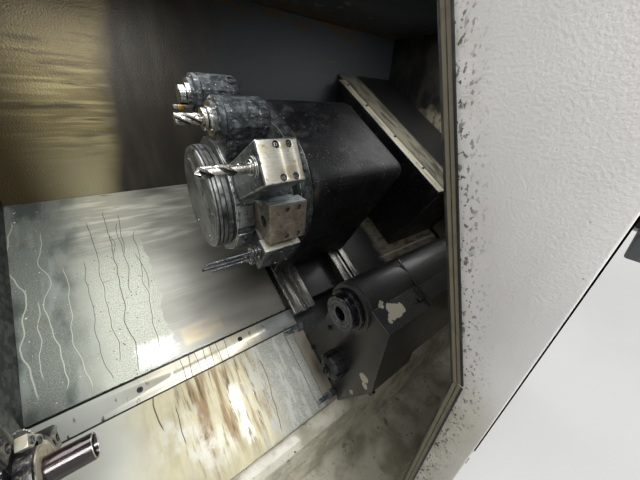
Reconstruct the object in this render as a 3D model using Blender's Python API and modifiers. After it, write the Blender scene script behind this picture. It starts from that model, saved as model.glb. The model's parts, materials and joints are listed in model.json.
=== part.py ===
"""A slant-bed CNC turning lathe with a tool turret, a tailstock and a sliding front door."""
import math

import bmesh
import bpy
from mathutils import Matrix, Vector

# Overall sizes, in metres. X runs along the spindle, Y to the rear, Z up.
SPINDLE_HEIGHT = 1.0
HEADSTOCK_REACH = 1.24
TAIL_REACH = 1.26
SLANT = math.radians(30)
SEAT = 0.0003
RUN_GAP = 0.002
OVERRUN = 0.01

# Enclosure, measured from the spindle axis.
FOOT_HEIGHT = 0.08
ROOF_UNDER = 0.65
ROOF_THICK = 0.05
ROOF_FRONT = -0.045
REAR_FACE = 0.776
BACK_WALL_THICK = 0.024
OUTER_FACE = 0.288
INNER_FACE = 0.24
BEND_HEIGHT = 0.129
INNER_TOP_FACE = 0.056
SHOULDER_HEIGHT = 0.50
CREST_FACE = 0.13
CREST_DROP = 0.01
SILL_DROP = 0.45
COVER_SHEET = 0.02
SHELL_WALL = 0.015
CHAMBER_LEFT = 0.565
CHAMBER_END_GAP = 0.34
CHAMBER_RIGHT = TAIL_REACH - CHAMBER_END_GAP
CHAMBER_WALL = 0.008
CHAMBER_FRONT = 0.222
PAN_FLOOR_DROP = 0.57
NOSE_HOLE_RADIUS = 0.09

# Front door, with the place of its leading edge as it stands open.
DOOR_LEAD = 0.055
DOOR_END_GAP = 0.48
DOOR_WIDTH = TAIL_REACH - DOOR_END_GAP
WINDOW_INSET = 0.14
WINDOW_LOW = 0.10
WINDOW_HIGH = 0.40
PANE_THICK = 0.006
HANDLE_INSET = 0.06
HANDLE_LOW = 0.335
HANDLE_HIGH = 0.495
HANDLE_RADIUS = 0.011
HANDLE_STAND = 0.045
JAMB_X = 0.60
FIXED_FRONT_START = 0.15
FIXED_FRONT_GAP = 0.006
FIXED_FRONT_THICK = 0.010
COLUMN_WIDTH = 0.42
COLUMN_START = TAIL_REACH - COLUMN_WIDTH

# Slant bed. Along the slope is s, off the slope is n, both from the spindle axis.
COVER_N = 0.300
SHEET = 0.003
BED_TOP_N = 0.420
BED_FRONT_S = 0.215
BED_LEDGE = 0.036
RAIL_WIDTH = 0.040
RAIL_HEIGHT = 0.035
RAIL_LOW_S = 0.150
RAIL_HIGH_S = 0.560
RAIL_LEFT_GAP = 0.29
RAIL_RIGHT_GAP = 0.16
RAIL_LEFT = HEADSTOCK_REACH - RAIL_LEFT_GAP
RAIL_RIGHT = TAIL_REACH - RAIL_RIGHT_GAP
TAIL_WAY_S = (-0.125, 0.020)
TAIL_WAY_HEIGHT = 0.020
TAIL_WAY_LEFT = 0.50
SCREW_S = 0.380
SCREW_RADIUS = 0.016
SCREW_END_GAP = 0.17
SCREW_LENGTH = HEADSTOCK_REACH + TAIL_REACH - 2 * SCREW_END_GAP
SCREW_DROP = 0.020
NUT_RADIUS = 0.034
NUT_LENGTH = 0.10
GROOVE_WIDTH = 0.10
GROOVE_DEPTH = 0.065

# Coolant tank and the pocket that it runs in.
TANK_LEFT = 0.45
TANK_RIGHT = 0.55
TANK_FRONT = 0.286
TANK_REAR = 0.40
TANK_HEIGHT = 0.25
TANK_LIFT = 0.035
TANK_WALL = 0.006
TANK_FLANGE = 0.030
TANK_FLANGE_THICK = 0.012
TANK_CLEAR = 0.004
LEDGE_HEIGHT = 0.020

# Levelling feet.
FOOT_PAD_RADIUS = 0.055
FOOT_PAD_HEIGHT = 0.018
FOOT_STEM_RADIUS = 0.018
FOOT_NUT_RADIUS = 0.032
FOOT_NUT_HEIGHT = 0.018
FOOT_INSET = 0.11

# Headstock.
CASTING_END_GAP = 0.32
CASTING_LEFT = HEADSTOCK_REACH - CASTING_END_GAP
CASTING_RIGHT = 0.60
CASTING_S = (-0.200, 0.115)
CASTING_TOP_N = 0.12
TUNNEL_S = (-0.175, 0.0625)
TUNNEL_N = (-0.350, -0.285)
MOTOR_END_GAP = 0.14
MOTOR_LEFT = HEADSTOCK_REACH - MOTOR_END_GAP
MOTOR_RADIUS = 0.13
CYLINDER_END_GAP = 0.05
CYLINDER_LEFT = HEADSTOCK_REACH - CYLINDER_END_GAP
CYLINDER_RADIUS = 0.085
SPINDLE_RADIUS = 0.060
SPINDLE_BORE = 0.026
NOSE_RADIUS = 0.085
CHUCK_RADIUS = 0.105
CHUCK_BACK = 0.5620
CHUCK_THICK = 0.072
CHUCK_NOSE_RADIUS = 0.055
CHUCK_NOSE_LENGTH = 0.028
CHUCK_EDGE = 0.004
SLOT_WIDTH = 0.022
SLOT_DEPTH = 0.025
JAW_COUNT = 3
JAW_WIDTH = 0.034
JAW_HEIGHT = 0.034
JAW_INNER = 0.057
JAW_OUTER = 0.090
GRIP_RADIUS = 0.039
GRIP_LENGTH = 0.015
GRIP_SPLIT = 0.002
JAW_SCREW_RADIUS = 0.0055
JAW_SCREW_DEPTH = 0.008
JAW_SCREWS = (0.065, 0.081)
TUBE_RADIUS = 0.016
TUBE_WALL = 0.0025
TUBE_END = 0.403
TUBE_LENGTH = 0.187
BAR_HOLE_RADIUS = 0.05

# Carriage.
SADDLE_LEFT = 0.0
SADDLE_S = (0.125, 0.630)
SADDLE_TOP_N = 0.325
COVER_S = (0.1205, 0.693)
COVER_RIGHT = 0.020
COVER_LEFT = 0.79
COVER_END_GAP = 0.02
COVER_FAR = CHAMBER_RIGHT - COVER_END_GAP
FOLD = 0.020
STRIP_S = (0.0630, 0.1190)
STRIP_END = 0.03
STRIP_WEB = 0.012
STRIP_SCREW_RADIUS = 0.0065
STRIP_SCREW_SHARES = (0.42, 0.84)
GUIDE_LEFT = 0.030
GUIDE_WIDTH = 0.080
GUIDE_PITCH = 0.230
GUIDE_RIGHT = GUIDE_LEFT + GUIDE_PITCH + GUIDE_WIDTH
SADDLE_EDGE = 0.020
SADDLE_RIGHT = GUIDE_RIGHT + SADDLE_EDGE
GUIDE_TOP_N = 0.278
GUIDE_S = (0.088, 0.625)
GUIDE_GROOVE = 0.018
GUIDE_GROOVE_DEPTH = 0.010

# Turret.
TURRET_S = 0.362
STATIONS = 12
STATION_ANGLE = math.radians(122.5)
DRUM_FLAT = 0.125
DRUM_FRONT = 0.130
DISC_RADIUS = 0.165
DISC_THICK = 0.030
PAD_HALF = 0.024
PAD_HEIGHT = 0.003
PAD_SPAN = (-0.126, -0.094)
CAP_RADIUS = 0.115
CAP_FRONT = 0.165
CAP_RIM = 0.009
CAP_STEP = 0.007
BLOCK_BASE_HALF = 0.030
BLOCK_BASE_TOP = 0.155
BLOCK_BASE_LEFT = -0.090
BLOCK_EDGE = 0.002
BOLT_RADIUS = 0.0055
BOLT_DEPTH = 0.007
BOLT_SHARES = (0.46, 0.77)
BOLT_INSET_SHARE = 0.27
HOUSING_RIGHT = GUIDE_RIGHT
HOUSING_S = (0.235, 0.545)
HOUSING_N = (-0.13, 0.14)
SLIDE_S = (0.245, 0.575)
HOUSING_BEVEL = 0.03
DRILL_R = 0.255
DRILL_COVER = 0.025
DRILL_BLOCK = (-0.131, -0.060, 0.034, DRILL_R + DRILL_COVER)
DRILL_RADIUS = 0.0085
DRILL_TIP = 0.215
DRILL_SHANK = 0.055
POINT_LENGTH = 0.006
TURNING_BLOCK = (-0.090, -0.005, 0.041, 0.190)
BORE_R = 0.163
BORE_RADIUS = 0.0125
BORE_DEPTH = 0.060
GANG_BLOCK = (-0.098, -0.010, 0.038, 0.190)
GANG_TOOLS = ((0.170, -0.020, 0.205), (0.176, 0.002, 0.198), (0.160, 0.022, 0.210))
GANG_TOOL_RADIUS = 0.0028
GANG_NOSE_RADIUS = 0.010
GANG_NOSE_LENGTH = 0.022
LIVE_SPAN = (-0.147, -0.055)
BORING_SPAN = (-0.150, -0.066)
HOLDER_R = 0.205
HOLDER_RADIUS = 0.037
HOLDER_HALF = 0.030
COLLAR_RADIUS = 0.028
COLLAR_LENGTH = 0.006
MILL_NUT_RADIUS = 0.018
MILL_NUT_LENGTH = 0.019
MILL_RADIUS = 0.009
MILL_TIP = 0.205
BAR_NOSE_RADIUS = 0.022
BAR_NOSE_LENGTH = 0.016
INSERT_REACH = 0.012
INSERT_HALF = 0.007

# Tailstock.
TAIL_LEFT = 0.040
TAIL_JOINT = 0.181
TAIL_RIGHT = 0.62
TAIL_STEP = 0.004
BOSS_RADIUS = 0.058
FACE_S = (-0.177, -0.084, -0.022, 0.016, 0.020, 0.040)
FACE_N = (-0.309, -0.119, 0.055, 0.048, -0.161, -0.050)
FOOT_S = (-0.160, 0.020)
SEAL_RADIUS = 0.056
SEAL_THICK = 0.012
QUILL_RADIUS = 0.040
QUILL_LENGTH = 0.300
QUILL_CHAMFER = 0.003
SOCKET_RADIUS = 0.0155
SOCKET_DEPTH = 0.09
KNOB_S = -0.086
KNOB_N = -0.172
KNOB_RADIUS = 0.033
KNOB_LENGTH = 0.050
KNOB_DOME = 0.016
TAIL_COVER_S = (-0.167, 0.0610)
TAIL_COVER_END = 0.022
LIP_DROP = 0.032
BAND_RISE = 0.009

# Side guard, chip pan and fixed covers inside the chamber.
GUARD_X = 0.580
GUARD_S = 0.190
GUARD_N = 0.045
GUARD_SHEET = 0.006
FLANGE_WIDTH = 0.055
FLANGE_THICK = 0.004
FLANGE_LAP = 0.034
PAN_SHEET = 0.004
PAN_LEDGE_S = (-0.213, -0.173)
PAN_LEDGE_N = 0.317
PAN_BOTTOM = 0.56
PAN_FRONT = 0.19
PAN_REAR = 0.030
PAN_LIP = 0.218
APRON_THICK = 0.02
PAN_CLEAR = 0.004

# Rear cabinet.
CABINET_LEFT = 1.00
CABINET_RIGHT = 0.30
CABINET_LOW = 0.75
CABINET_HIGH = 0.55
CABINET_DEPTH = 0.24
CABINET_WALL = 0.012
CABINET_DOOR = 0.018
CABINET_UNITS = 4
UNIT_WIDTH = 0.16
UNIT_HEIGHT = 0.36
UNIT_DEPTH = 0.14
HINGE_RADIUS = 0.008
HINGE_WALL = 0.006
HINGE_LENGTH = 0.10

# Operator panel.
PANEL_WIDTH = 0.335
PANEL_END_GAP = 0.065
PANEL_RIGHT = TAIL_REACH - PANEL_END_GAP
PANEL_LEFT = PANEL_RIGHT - PANEL_WIDTH
PANEL_LOW = 0.02
PANEL_HIGH = 0.50
PANEL_DEPTH = 0.085
PANEL_GAP = 0.030
PANEL_EDGE = 0.008
SCREEN_INSET = 0.03
SCREEN_HEIGHT = 0.20
SCREEN_DEPTH = 0.004
STOP_RADIUS = 0.020
STOP_STEM = 0.011
STOP_REACH = 0.026
STOP_TRAVEL_GAP = 0.008
START_RADIUS = 0.011
START_REACH = 0.008
WHEEL_RADIUS = 0.038
WHEEL_REACH = 0.028
CONTROL_DROP = 0.07

# Work light and signal lamp.
LIGHT_LEFT = 0.45
LIGHT_LENGTH = 0.80
LIGHT_RADIUS = 0.020
LIGHT_Y = 0.0
LAMP_END_GAP = 0.16
LAMP_X = TAIL_REACH - LAMP_END_GAP
LAMP_Y = 0.62
LAMP_RADIUS = 0.028
LAMP_TIER = 0.045
LAMP_TIERS = 3
LAMP_POLE = 0.08
LAMP_POLE_RADIUS = 0.011

ROUND = 40
SMALL_ROUND = 20
TINY_ROUND = 12

FLOOR = -SPINDLE_HEIGHT
BED_BOTTOM = FLOOR + FOOT_HEIGHT
ROOF_TOP = ROOF_UNDER + ROOF_THICK
BACK_WALL_FACE = REAR_FACE - BACK_WALL_THICK
INSIDE_LEFT = -HEADSTOCK_REACH + COVER_SHEET
INSIDE_RIGHT = TAIL_REACH - COVER_SHEET
PANEL_BACK = -OUTER_FACE - PANEL_GAP
PANEL_FACE = PANEL_BACK - PANEL_DEPTH
FRONT_REACH = -PANEL_FACE + max(WHEEL_REACH, STOP_REACH)
REAR_REACH = REAR_FACE + SEAT + CABINET_DEPTH + RUN_GAP + CABINET_DOOR
AXIS_X = (HEADSTOCK_REACH - TAIL_REACH) / 2
AXIS_Y = (FRONT_REACH - REAR_REACH) / 2


def clear_scene():
    """Take every object out of the file, so that only this machine is in it."""
    for old in list(bpy.data.objects):
        bpy.data.objects.remove(old, do_unlink=True)


def collection(name, hidden=False):
    """Add a collection to the scene."""
    group = bpy.data.collections.new(name)
    bpy.context.scene.collection.children.link(group)
    group.hide_render = hidden
    return group


def frame_empty(name, place, turn=0.0, parent=None):
    """Add an empty that pieces are placed in."""
    empty = bpy.data.objects.new(name, None)
    parts.objects.link(empty)
    empty.location = place
    empty.rotation_euler = (turn, 0.0, 0.0)
    empty.parent = parent
    bpy.context.view_layer.update()
    return empty


def material(name, color, roughness, metallic):
    """A plain Principled finish."""
    finish = bpy.data.materials.new(name)
    finish.use_nodes = True
    shader = finish.node_tree.nodes["Principled BSDF"]
    shader.inputs["Base Color"].default_value = (*color, 1.0)
    shader.inputs["Roughness"].default_value = roughness
    shader.inputs["Metallic"].default_value = metallic
    finish.diffuse_color = (*color, 1.0)
    return finish


def wrap(shape, frame):
    """Make an object from a bmesh, placed in a frame."""
    mesh = bpy.data.meshes.new("shape")
    bmesh.ops.recalc_face_normals(shape, faces=shape.faces)
    shape.to_mesh(mesh)
    shape.free()
    piece = bpy.data.objects.new("shape", mesh)
    parts.objects.link(piece)
    piece.parent = frame
    return piece


def block(frame, low, high, edge=0.0, segments=1):
    """A box between two corners, with its edges bevelled if asked."""
    shape = bmesh.new()
    low = Vector(low)
    high = Vector(high)
    bmesh.ops.create_cube(shape, size=1.0)
    bmesh.ops.scale(shape, vec=high - low, verts=shape.verts)
    bmesh.ops.translate(shape, vec=(low + high) / 2, verts=shape.verts)
    if edge > 0.0:
        bmesh.ops.bevel(shape, geom=shape.edges, offset=edge, segments=segments, profile=0.5, affect="EDGES")
    return wrap(shape, frame)


def rod(frame, start, end, radius, sides=SMALL_ROUND, tip=None):
    """A round bar from one point to another, or a cone if the far end has its own radius."""
    shape = bmesh.new()
    start = Vector(start)
    end = Vector(end)
    way = end - start
    far = radius if tip is None else tip
    bmesh.ops.create_cone(shape, cap_ends=True, segments=sides, radius1=radius, radius2=far, depth=way.length)
    turn = Vector((0.0, 0.0, 1.0)).rotation_difference(way.normalized()).to_matrix().to_4x4()
    bmesh.ops.transform(shape, matrix=Matrix.Translation((start + end) / 2) @ turn, verts=shape.verts)
    bmesh.ops.remove_doubles(shape, verts=shape.verts, dist=SEAT / 10)
    return wrap(shape, frame)


def turned(frame, profile, ring=False, sides=ROUND, axis="X"):
    """A turned shape about the frame's X axis, or Z. The profile is (radius, place) down its outer side."""
    mesh = bpy.data.meshes.new("profile")
    count = len(profile)
    edges = [(i, i + 1) for i in range(count - 1)]
    if ring:
        edges.append((count - 1, 0))
    mesh.from_pydata([(radius, 0.0, place) for radius, place in profile], edges, [])
    piece = bpy.data.objects.new("profile", mesh)
    parts.objects.link(piece)
    screw = piece.modifiers.new("turn", "SCREW")
    screw.steps = sides
    screw.render_steps = sides
    screw.use_merge_vertices = True
    screw.merge_threshold = 0.00001
    bpy.context.view_layer.update()
    graph = bpy.context.evaluated_depsgraph_get()
    shape = bmesh.new()
    shape.from_mesh(piece.evaluated_get(graph).to_mesh())
    bpy.data.objects.remove(piece, do_unlink=True)
    bmesh.ops.remove_doubles(shape, verts=shape.verts, dist=0.00001)
    if axis == "X":
        bmesh.ops.transform(shape, matrix=Matrix.Rotation(math.pi / 2, 4, "Y"), verts=shape.verts)
    return wrap(shape, frame)


def prism(frame, outline, start, end, plane="X"):
    """A flat outline in the frame's YZ plane, made solid between two places along X."""
    curve = bpy.data.curves.new("outline", "CURVE")
    curve.dimensions = "2D"
    curve.fill_mode = "BOTH"
    curve.extrude = (end - start) / 2
    line = curve.splines.new("POLY")
    line.points.add(len(outline) - 1)
    for point, (across, up) in zip(line.points, outline):
        point.co = (across, up, 0.0, 1.0)
    line.use_cyclic_u = True
    piece = bpy.data.objects.new("outline", curve)
    parts.objects.link(piece)
    bpy.context.view_layer.update()
    graph = bpy.context.evaluated_depsgraph_get()
    shape = bmesh.new()
    solid = bpy.data.meshes.new_from_object(piece.evaluated_get(graph))
    shape.from_mesh(solid)
    bpy.data.meshes.remove(solid)
    bpy.data.objects.remove(piece, do_unlink=True)
    bmesh.ops.remove_doubles(shape, verts=shape.verts, dist=0.00001)
    bmesh.ops.dissolve_limit(shape, angle_limit=math.radians(1), verts=shape.verts, edges=shape.edges)
    if plane == "X":
        turn = Matrix(((0, 0, 1, 0), (1, 0, 0, 0), (0, 1, 0, 0), (0, 0, 0, 1)))
        shift = Matrix.Translation(((start + end) / 2, 0.0, 0.0))
    bmesh.ops.transform(shape, matrix=shift @ turn, verts=shape.verts)
    return wrap(shape, frame)


def combine(base, tools, operation):
    """Join other solids to a piece or cut them from it, and keep the result as its mesh."""
    for tool in tools:
        change = base.modifiers.new("change", "BOOLEAN")
        change.operation = operation
        change.solver = "EXACT"
        change.object = tool
        bpy.context.view_layer.update()
        graph = bpy.context.evaluated_depsgraph_get()
        solid = bpy.data.meshes.new_from_object(base.evaluated_get(graph))
        base.modifiers.remove(change)
        base.data = solid
        bpy.data.objects.remove(tool, do_unlink=True)
    return base


def join(base, *tools):
    """Join solids into one body."""
    return combine(base, tools, "UNION")


def cut(base, *tools):
    """Cut solids away from a piece."""
    return combine(base, tools, "DIFFERENCE")


def turn_about(piece, angle, centre=(0.0, 0.0, 0.0), axis="X"):
    """Turn a piece's mesh about an axis of its frame."""
    middle = Vector(centre)
    turn = Matrix.Translation(middle) @ Matrix.Rotation(angle, 4, axis) @ Matrix.Translation(-middle)
    piece.data.transform(turn)
    return piece


def finish(piece, name, look, pivot=None):
    """Name a piece, give it its material and set its origin on its pivot."""
    piece.name = name
    piece.data.name = name
    piece.data.materials.clear()
    piece.data.materials.append(look)
    if pivot is not None:
        piece.data.transform(Matrix.Translation(-Vector(pivot)))
        piece.location = pivot
    piece.data.shade_smooth()
    piece.data.set_sharp_from_angle(angle=math.radians(35))
    return piece


def slope(s, n):
    """The (y, z) place of a point given along and off the slope."""
    return (s * math.cos(SLANT) - n * math.sin(SLANT), s * math.sin(SLANT) + n * math.cos(SLANT))


def slope_at_y(y, n):
    """How far along the slope the plane at n reaches the upright plane at y."""
    return (y + n * math.sin(SLANT)) / math.cos(SLANT)


def make_bed():
    """The base and slant bed, one casting, with the tank's pocket, the screw groove and the tailstock way."""
    front, front_top = slope(-BED_FRONT_S, -BED_TOP_N)
    ledge_y = REAR_FACE - BED_LEDGE
    ledge_z = slope(slope_at_y(ledge_y, -BED_TOP_N), -BED_TOP_N)[1]
    outline = [(front, BED_BOTTOM), (REAR_FACE, BED_BOTTOM), (REAR_FACE, ledge_z), (ledge_y, ledge_z),
               (front, front_top)]
    left = INSIDE_LEFT + SEAT
    right = INSIDE_RIGHT - SEAT
    bed = prism(machine, outline, left, right)
    side = TANK_FLANGE + TANK_CLEAR
    top = FLOOR + TANK_LIFT + TANK_HEIGHT + TANK_CLEAR
    shelf = top - TANK_CLEAR - TANK_FLANGE_THICK - SEAT
    wide_cut = block(machine, (-TANK_LEFT - side, front - OVERRUN, shelf),
                     (TANK_RIGHT + side, TANK_REAR + TANK_CLEAR, top))
    low_cut = block(machine, (-TANK_LEFT - side, front - OVERRUN, BED_BOTTOM - OVERRUN),
                    (TANK_RIGHT + side, TANK_REAR + TANK_CLEAR, shelf - LEDGE_HEIGHT))
    middle_cut = block(machine, (-TANK_LEFT - TANK_CLEAR, front - 2 * OVERRUN, BED_BOTTOM - 2 * OVERRUN),
                       (TANK_RIGHT + TANK_CLEAR, TANK_REAR + TANK_CLEAR / 2, shelf + SEAT))
    groove = block(slant, (-SCREW_LENGTH / 2 - OVERRUN, SCREW_S - GROOVE_WIDTH / 2, -BED_TOP_N - GROOVE_DEPTH),
                   (SCREW_LENGTH / 2 + OVERRUN, SCREW_S + GROOVE_WIDTH / 2, -BED_TOP_N + OVERRUN))
    bed = cut(bed, wide_cut, low_cut, middle_cut, groove)
    way = block(slant, (-TAIL_WAY_LEFT, TAIL_WAY_S[0], -BED_TOP_N - OVERRUN),
                (INSIDE_RIGHT - OVERRUN, TAIL_WAY_S[1], -BED_TOP_N + TAIL_WAY_HEIGHT))
    finish(join(bed, way), "bed_casting", cast_grey)


def make_feet():
    """Four levelling feet under the bed's corners."""
    front = slope(-BED_FRONT_S, -BED_TOP_N)[0]
    height = FOOT_HEIGHT - SEAT
    profile = [(0.0, height), (FOOT_STEM_RADIUS, height), (FOOT_STEM_RADIUS, FOOT_PAD_HEIGHT + FOOT_NUT_HEIGHT),
               (FOOT_NUT_RADIUS, FOOT_PAD_HEIGHT + FOOT_NUT_HEIGHT), (FOOT_NUT_RADIUS, FOOT_PAD_HEIGHT),
               (FOOT_PAD_RADIUS, FOOT_PAD_HEIGHT), (FOOT_PAD_RADIUS, 0.0), (0.0, 0.0)]
    places = [(x, y) for x in (INSIDE_LEFT + FOOT_INSET, INSIDE_RIGHT - FOOT_INSET)
              for y in (front + FOOT_INSET, REAR_FACE - FOOT_INSET)]
    for number, (x, y) in enumerate(places, 1):
        foot = turned(machine, profile, sides=SMALL_ROUND, axis="Z")
        foot.data.transform(Matrix.Translation((x, y, FLOOR)))
        finish(foot, f"levelling_foot_{number}", dark_steel)


def make_ways():
    """The two hardened rails of the carriage and its ball screw."""
    for name, s in (("way_rail_lower", RAIL_LOW_S), ("way_rail_upper", RAIL_HIGH_S)):
        low = -BED_TOP_N + SEAT
        rail = block(slant, (-RAIL_LEFT, s, low), (RAIL_RIGHT, s + RAIL_WIDTH, low + RAIL_HEIGHT), edge=RUN_GAP)
        finish(rail, name, ground_steel)
    axis = (0.0, SCREW_S, -BED_TOP_N - SCREW_DROP)
    half = Vector((SCREW_LENGTH / 2, 0.0, 0.0))
    screw = rod(slant, Vector(axis) - half, Vector(axis) + half, SCREW_RADIUS, SMALL_ROUND)
    finish(screw, "z_ball_screw", ground_steel, axis)


def make_headstock():
    """Headstock casting with its cover tunnel, and the built-in spindle motor behind it."""
    casting = block(slant, (-CASTING_LEFT, CASTING_S[0], -BED_TOP_N + SEAT),
                    (-CASTING_RIGHT, CASTING_S[1], CASTING_TOP_N), edge=OVERRUN)
    tunnel = block(slant, (-CASTING_LEFT - OVERRUN, TUNNEL_S[0], TUNNEL_N[0]),
                   (-CASTING_RIGHT + OVERRUN, TUNNEL_S[1], TUNNEL_N[1]))
    bore = rod(slant, (-CASTING_LEFT - OVERRUN, 0.0, 0.0), (-CASTING_RIGHT + OVERRUN, 0.0, 0.0),
               SPINDLE_RADIUS + SEAT, ROUND)
    finish(cut(casting, tunnel, bore), "headstock_casting", cast_grey)
    front = -CASTING_LEFT - SEAT
    hole = SPINDLE_RADIUS + SEAT
    profile = [(hole, front), (MOTOR_RADIUS, front), (MOTOR_RADIUS, -MOTOR_LEFT), (hole, -MOTOR_LEFT)]
    finish(turned(slant, profile, ring=True), "spindle_motor", cast_grey)


def make_spindle():
    """Spindle with its nose flange, the clamping cylinder at its rear and the bar tube in the chuck."""
    front = -CHUCK_BACK - SEAT
    step = -CASTING_RIGHT + SEAT
    rear = -MOTOR_LEFT - RUN_GAP
    profile = [(SPINDLE_BORE, front), (NOSE_RADIUS, front), (NOSE_RADIUS, step), (SPINDLE_RADIUS, step),
               (SPINDLE_RADIUS, rear), (SPINDLE_BORE, rear)]
    finish(turned(slant, profile, ring=True), "spindle", ground_steel)
    start = rear - SEAT
    profile = [(SPINDLE_BORE, start), (CYLINDER_RADIUS, start), (CYLINDER_RADIUS, -CYLINDER_LEFT),
               (SPINDLE_BORE, -CYLINDER_LEFT)]
    finish(turned(slant, profile, ring=True), "clamping_cylinder", dark_steel)
    inner = TUBE_RADIUS - TUBE_WALL
    back = -TUBE_END - TUBE_LENGTH
    profile = [(inner, -TUBE_END), (TUBE_RADIUS, -TUBE_END), (TUBE_RADIUS, back), (inner, back)]
    finish(turned(slant, profile, ring=True), "workpiece_tube", mill_scale)


def make_chuck():
    """Chuck body with a nose and three slots, and a stepped soft jaw in each slot."""
    face = -CHUCK_BACK + CHUCK_THICK
    nose = face + CHUCK_NOSE_LENGTH
    profile = [(SPINDLE_BORE, nose), (CHUCK_NOSE_RADIUS, nose), (CHUCK_NOSE_RADIUS, face),
               (CHUCK_RADIUS - CHUCK_EDGE, face), (CHUCK_RADIUS, face - CHUCK_EDGE), (CHUCK_RADIUS, -CHUCK_BACK),
               (SPINDLE_BORE, -CHUCK_BACK)]
    body = turned(slant, profile, ring=True)
    angles = [SLANT_UPRIGHT + 2 * math.pi * i / JAW_COUNT for i in range(JAW_COUNT)]
    for angle in angles:
        slot = block(slant, (face - SLOT_DEPTH, 0.0, -SLOT_WIDTH / 2),
                     (nose + OVERRUN, CHUCK_RADIUS + OVERRUN, SLOT_WIDTH / 2))
        cut(body, turn_about(slot, angle))
    finish(body, "chuck_body", blackened_steel)
    grip_end = nose + GRIP_LENGTH
    half = SLOT_WIDTH / 2 - SEAT
    for number, angle in enumerate(angles, 1):
        tongue = block(slant, (face - SLOT_DEPTH + SEAT, 0.0, -half), (nose + 2 * SEAT, JAW_OUTER, half))
        top = block(slant, (face + SEAT, JAW_INNER, -JAW_WIDTH / 2), (face + JAW_HEIGHT, JAW_OUTER, JAW_WIDTH / 2),
                    edge=BLOCK_EDGE)
        grip = rod(slant, (nose + SEAT, 0.0, 0.0), (grip_end, 0.0, 0.0), GRIP_RADIUS, ROUND)
        tube = rod(slant, (face - SLOT_DEPTH, 0.0, 0.0), (grip_end + OVERRUN, 0.0, 0.0), TUBE_RADIUS + SEAT, ROUND)
        wedge = 2 * CHUCK_RADIUS
        left_side = block(slant, (face - SLOT_DEPTH, -wedge, 0.0), (grip_end + OVERRUN, wedge, wedge))
        right_side = block(slant, (face - SLOT_DEPTH, -wedge, -wedge), (grip_end + OVERRUN, wedge, 0.0))
        split = math.pi / JAW_COUNT
        left_side = turn_about(left_side, split)
        right_side = turn_about(right_side, -split)
        for side, way in ((left_side, 1), (right_side, -1)):
            side.data.transform(Matrix.Translation((0.0, 0.0, -way * GRIP_SPLIT)))
        jaw = cut(join(tongue, top, grip), left_side, right_side, tube)
        for radius in JAW_SCREWS:
            pocket = rod(slant, (face + JAW_HEIGHT - JAW_SCREW_DEPTH, radius, 0.0),
                         (face + JAW_HEIGHT + OVERRUN, radius, 0.0), JAW_SCREW_RADIUS, TINY_ROUND)
            cut(jaw, pocket)
        finish(turn_about(jaw, angle), f"jaw_{number}", soft_jaw)


def make_carriage():
    """Saddle with its screw nut, the sliding way covers on both sides and the cross guides."""
    top = -SADDLE_TOP_N
    low = -BED_TOP_N + RAIL_HEIGHT + 2 * SEAT
    saddle = block(slant, (SADDLE_LEFT, SADDLE_S[0], low), (SADDLE_RIGHT, SADDLE_S[1], top), edge=RUN_GAP)
    middle = (SADDLE_LEFT + SADDLE_RIGHT) / 2
    screw_n = -BED_TOP_N - SCREW_DROP
    nut = rod(slant, (middle - NUT_LENGTH / 2, SCREW_S, screw_n), (middle + NUT_LENGTH / 2, SCREW_S, screw_n),
              NUT_RADIUS)
    bracket = block(slant, (middle - NUT_LENGTH / 3, SCREW_S - NUT_RADIUS / 2, screw_n),
                    (middle + NUT_LENGTH / 3, SCREW_S + NUT_RADIUS / 2, low + RUN_GAP))
    hole = rod(slant, (middle - NUT_LENGTH, SCREW_S, screw_n), (middle + NUT_LENGTH, SCREW_S, screw_n),
               SCREW_RADIUS + SEAT)
    finish(cut(join(saddle, bracket, nut), hole), "saddle", cast_black)
    under = -COVER_N - SHEET
    sheet = block(slant, (-COVER_LEFT, COVER_S[0], under), (COVER_RIGHT, COVER_S[1], -COVER_N))
    fold = block(slant, (COVER_RIGHT - FOLD, SADDLE_S[0], top + SEAT), (COVER_RIGHT, SADDLE_S[1], -COVER_N - SEAT))
    finish(join(sheet, fold), "carriage_cover_left", stainless)
    sheet = block(slant, (SADDLE_RIGHT - FOLD / 2, COVER_S[0], under), (COVER_FAR, COVER_S[1], -COVER_N))
    fold = block(slant, (SADDLE_RIGHT - FOLD / 2, SADDLE_S[0], top + SEAT),
                 (SADDLE_RIGHT + FOLD / 2, SADDLE_S[1], -COVER_N - SEAT))
    finish(join(sheet, fold), "carriage_cover_right", stainless)
    for number, name in enumerate(("x_guide_left", "x_guide_right")):
        left = GUIDE_LEFT + number * GUIDE_PITCH
        right = left + GUIDE_WIDTH
        bar = block(slant, (left, GUIDE_S[0], -STRIP_TOP_N + RUN_GAP), (right, GUIDE_S[1], -GUIDE_TOP_N), edge=RUN_GAP)
        root = block(slant, (left, SADDLE_S[0], top + SEAT), (right, GUIDE_S[1], -STRIP_TOP_N + 2 * RUN_GAP))
        middle = (left + right) / 2
        groove = block(slant, (middle - GUIDE_GROOVE / 2, GUIDE_S[0] - OVERRUN, -GUIDE_TOP_N - GUIDE_GROOVE_DEPTH),
                       (middle + GUIDE_GROOVE / 2, GUIDE_S[1] + OVERRUN, -GUIDE_TOP_N + OVERRUN))
        finish(cut(join(bar, root), groove), name, ground_steel)


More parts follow.
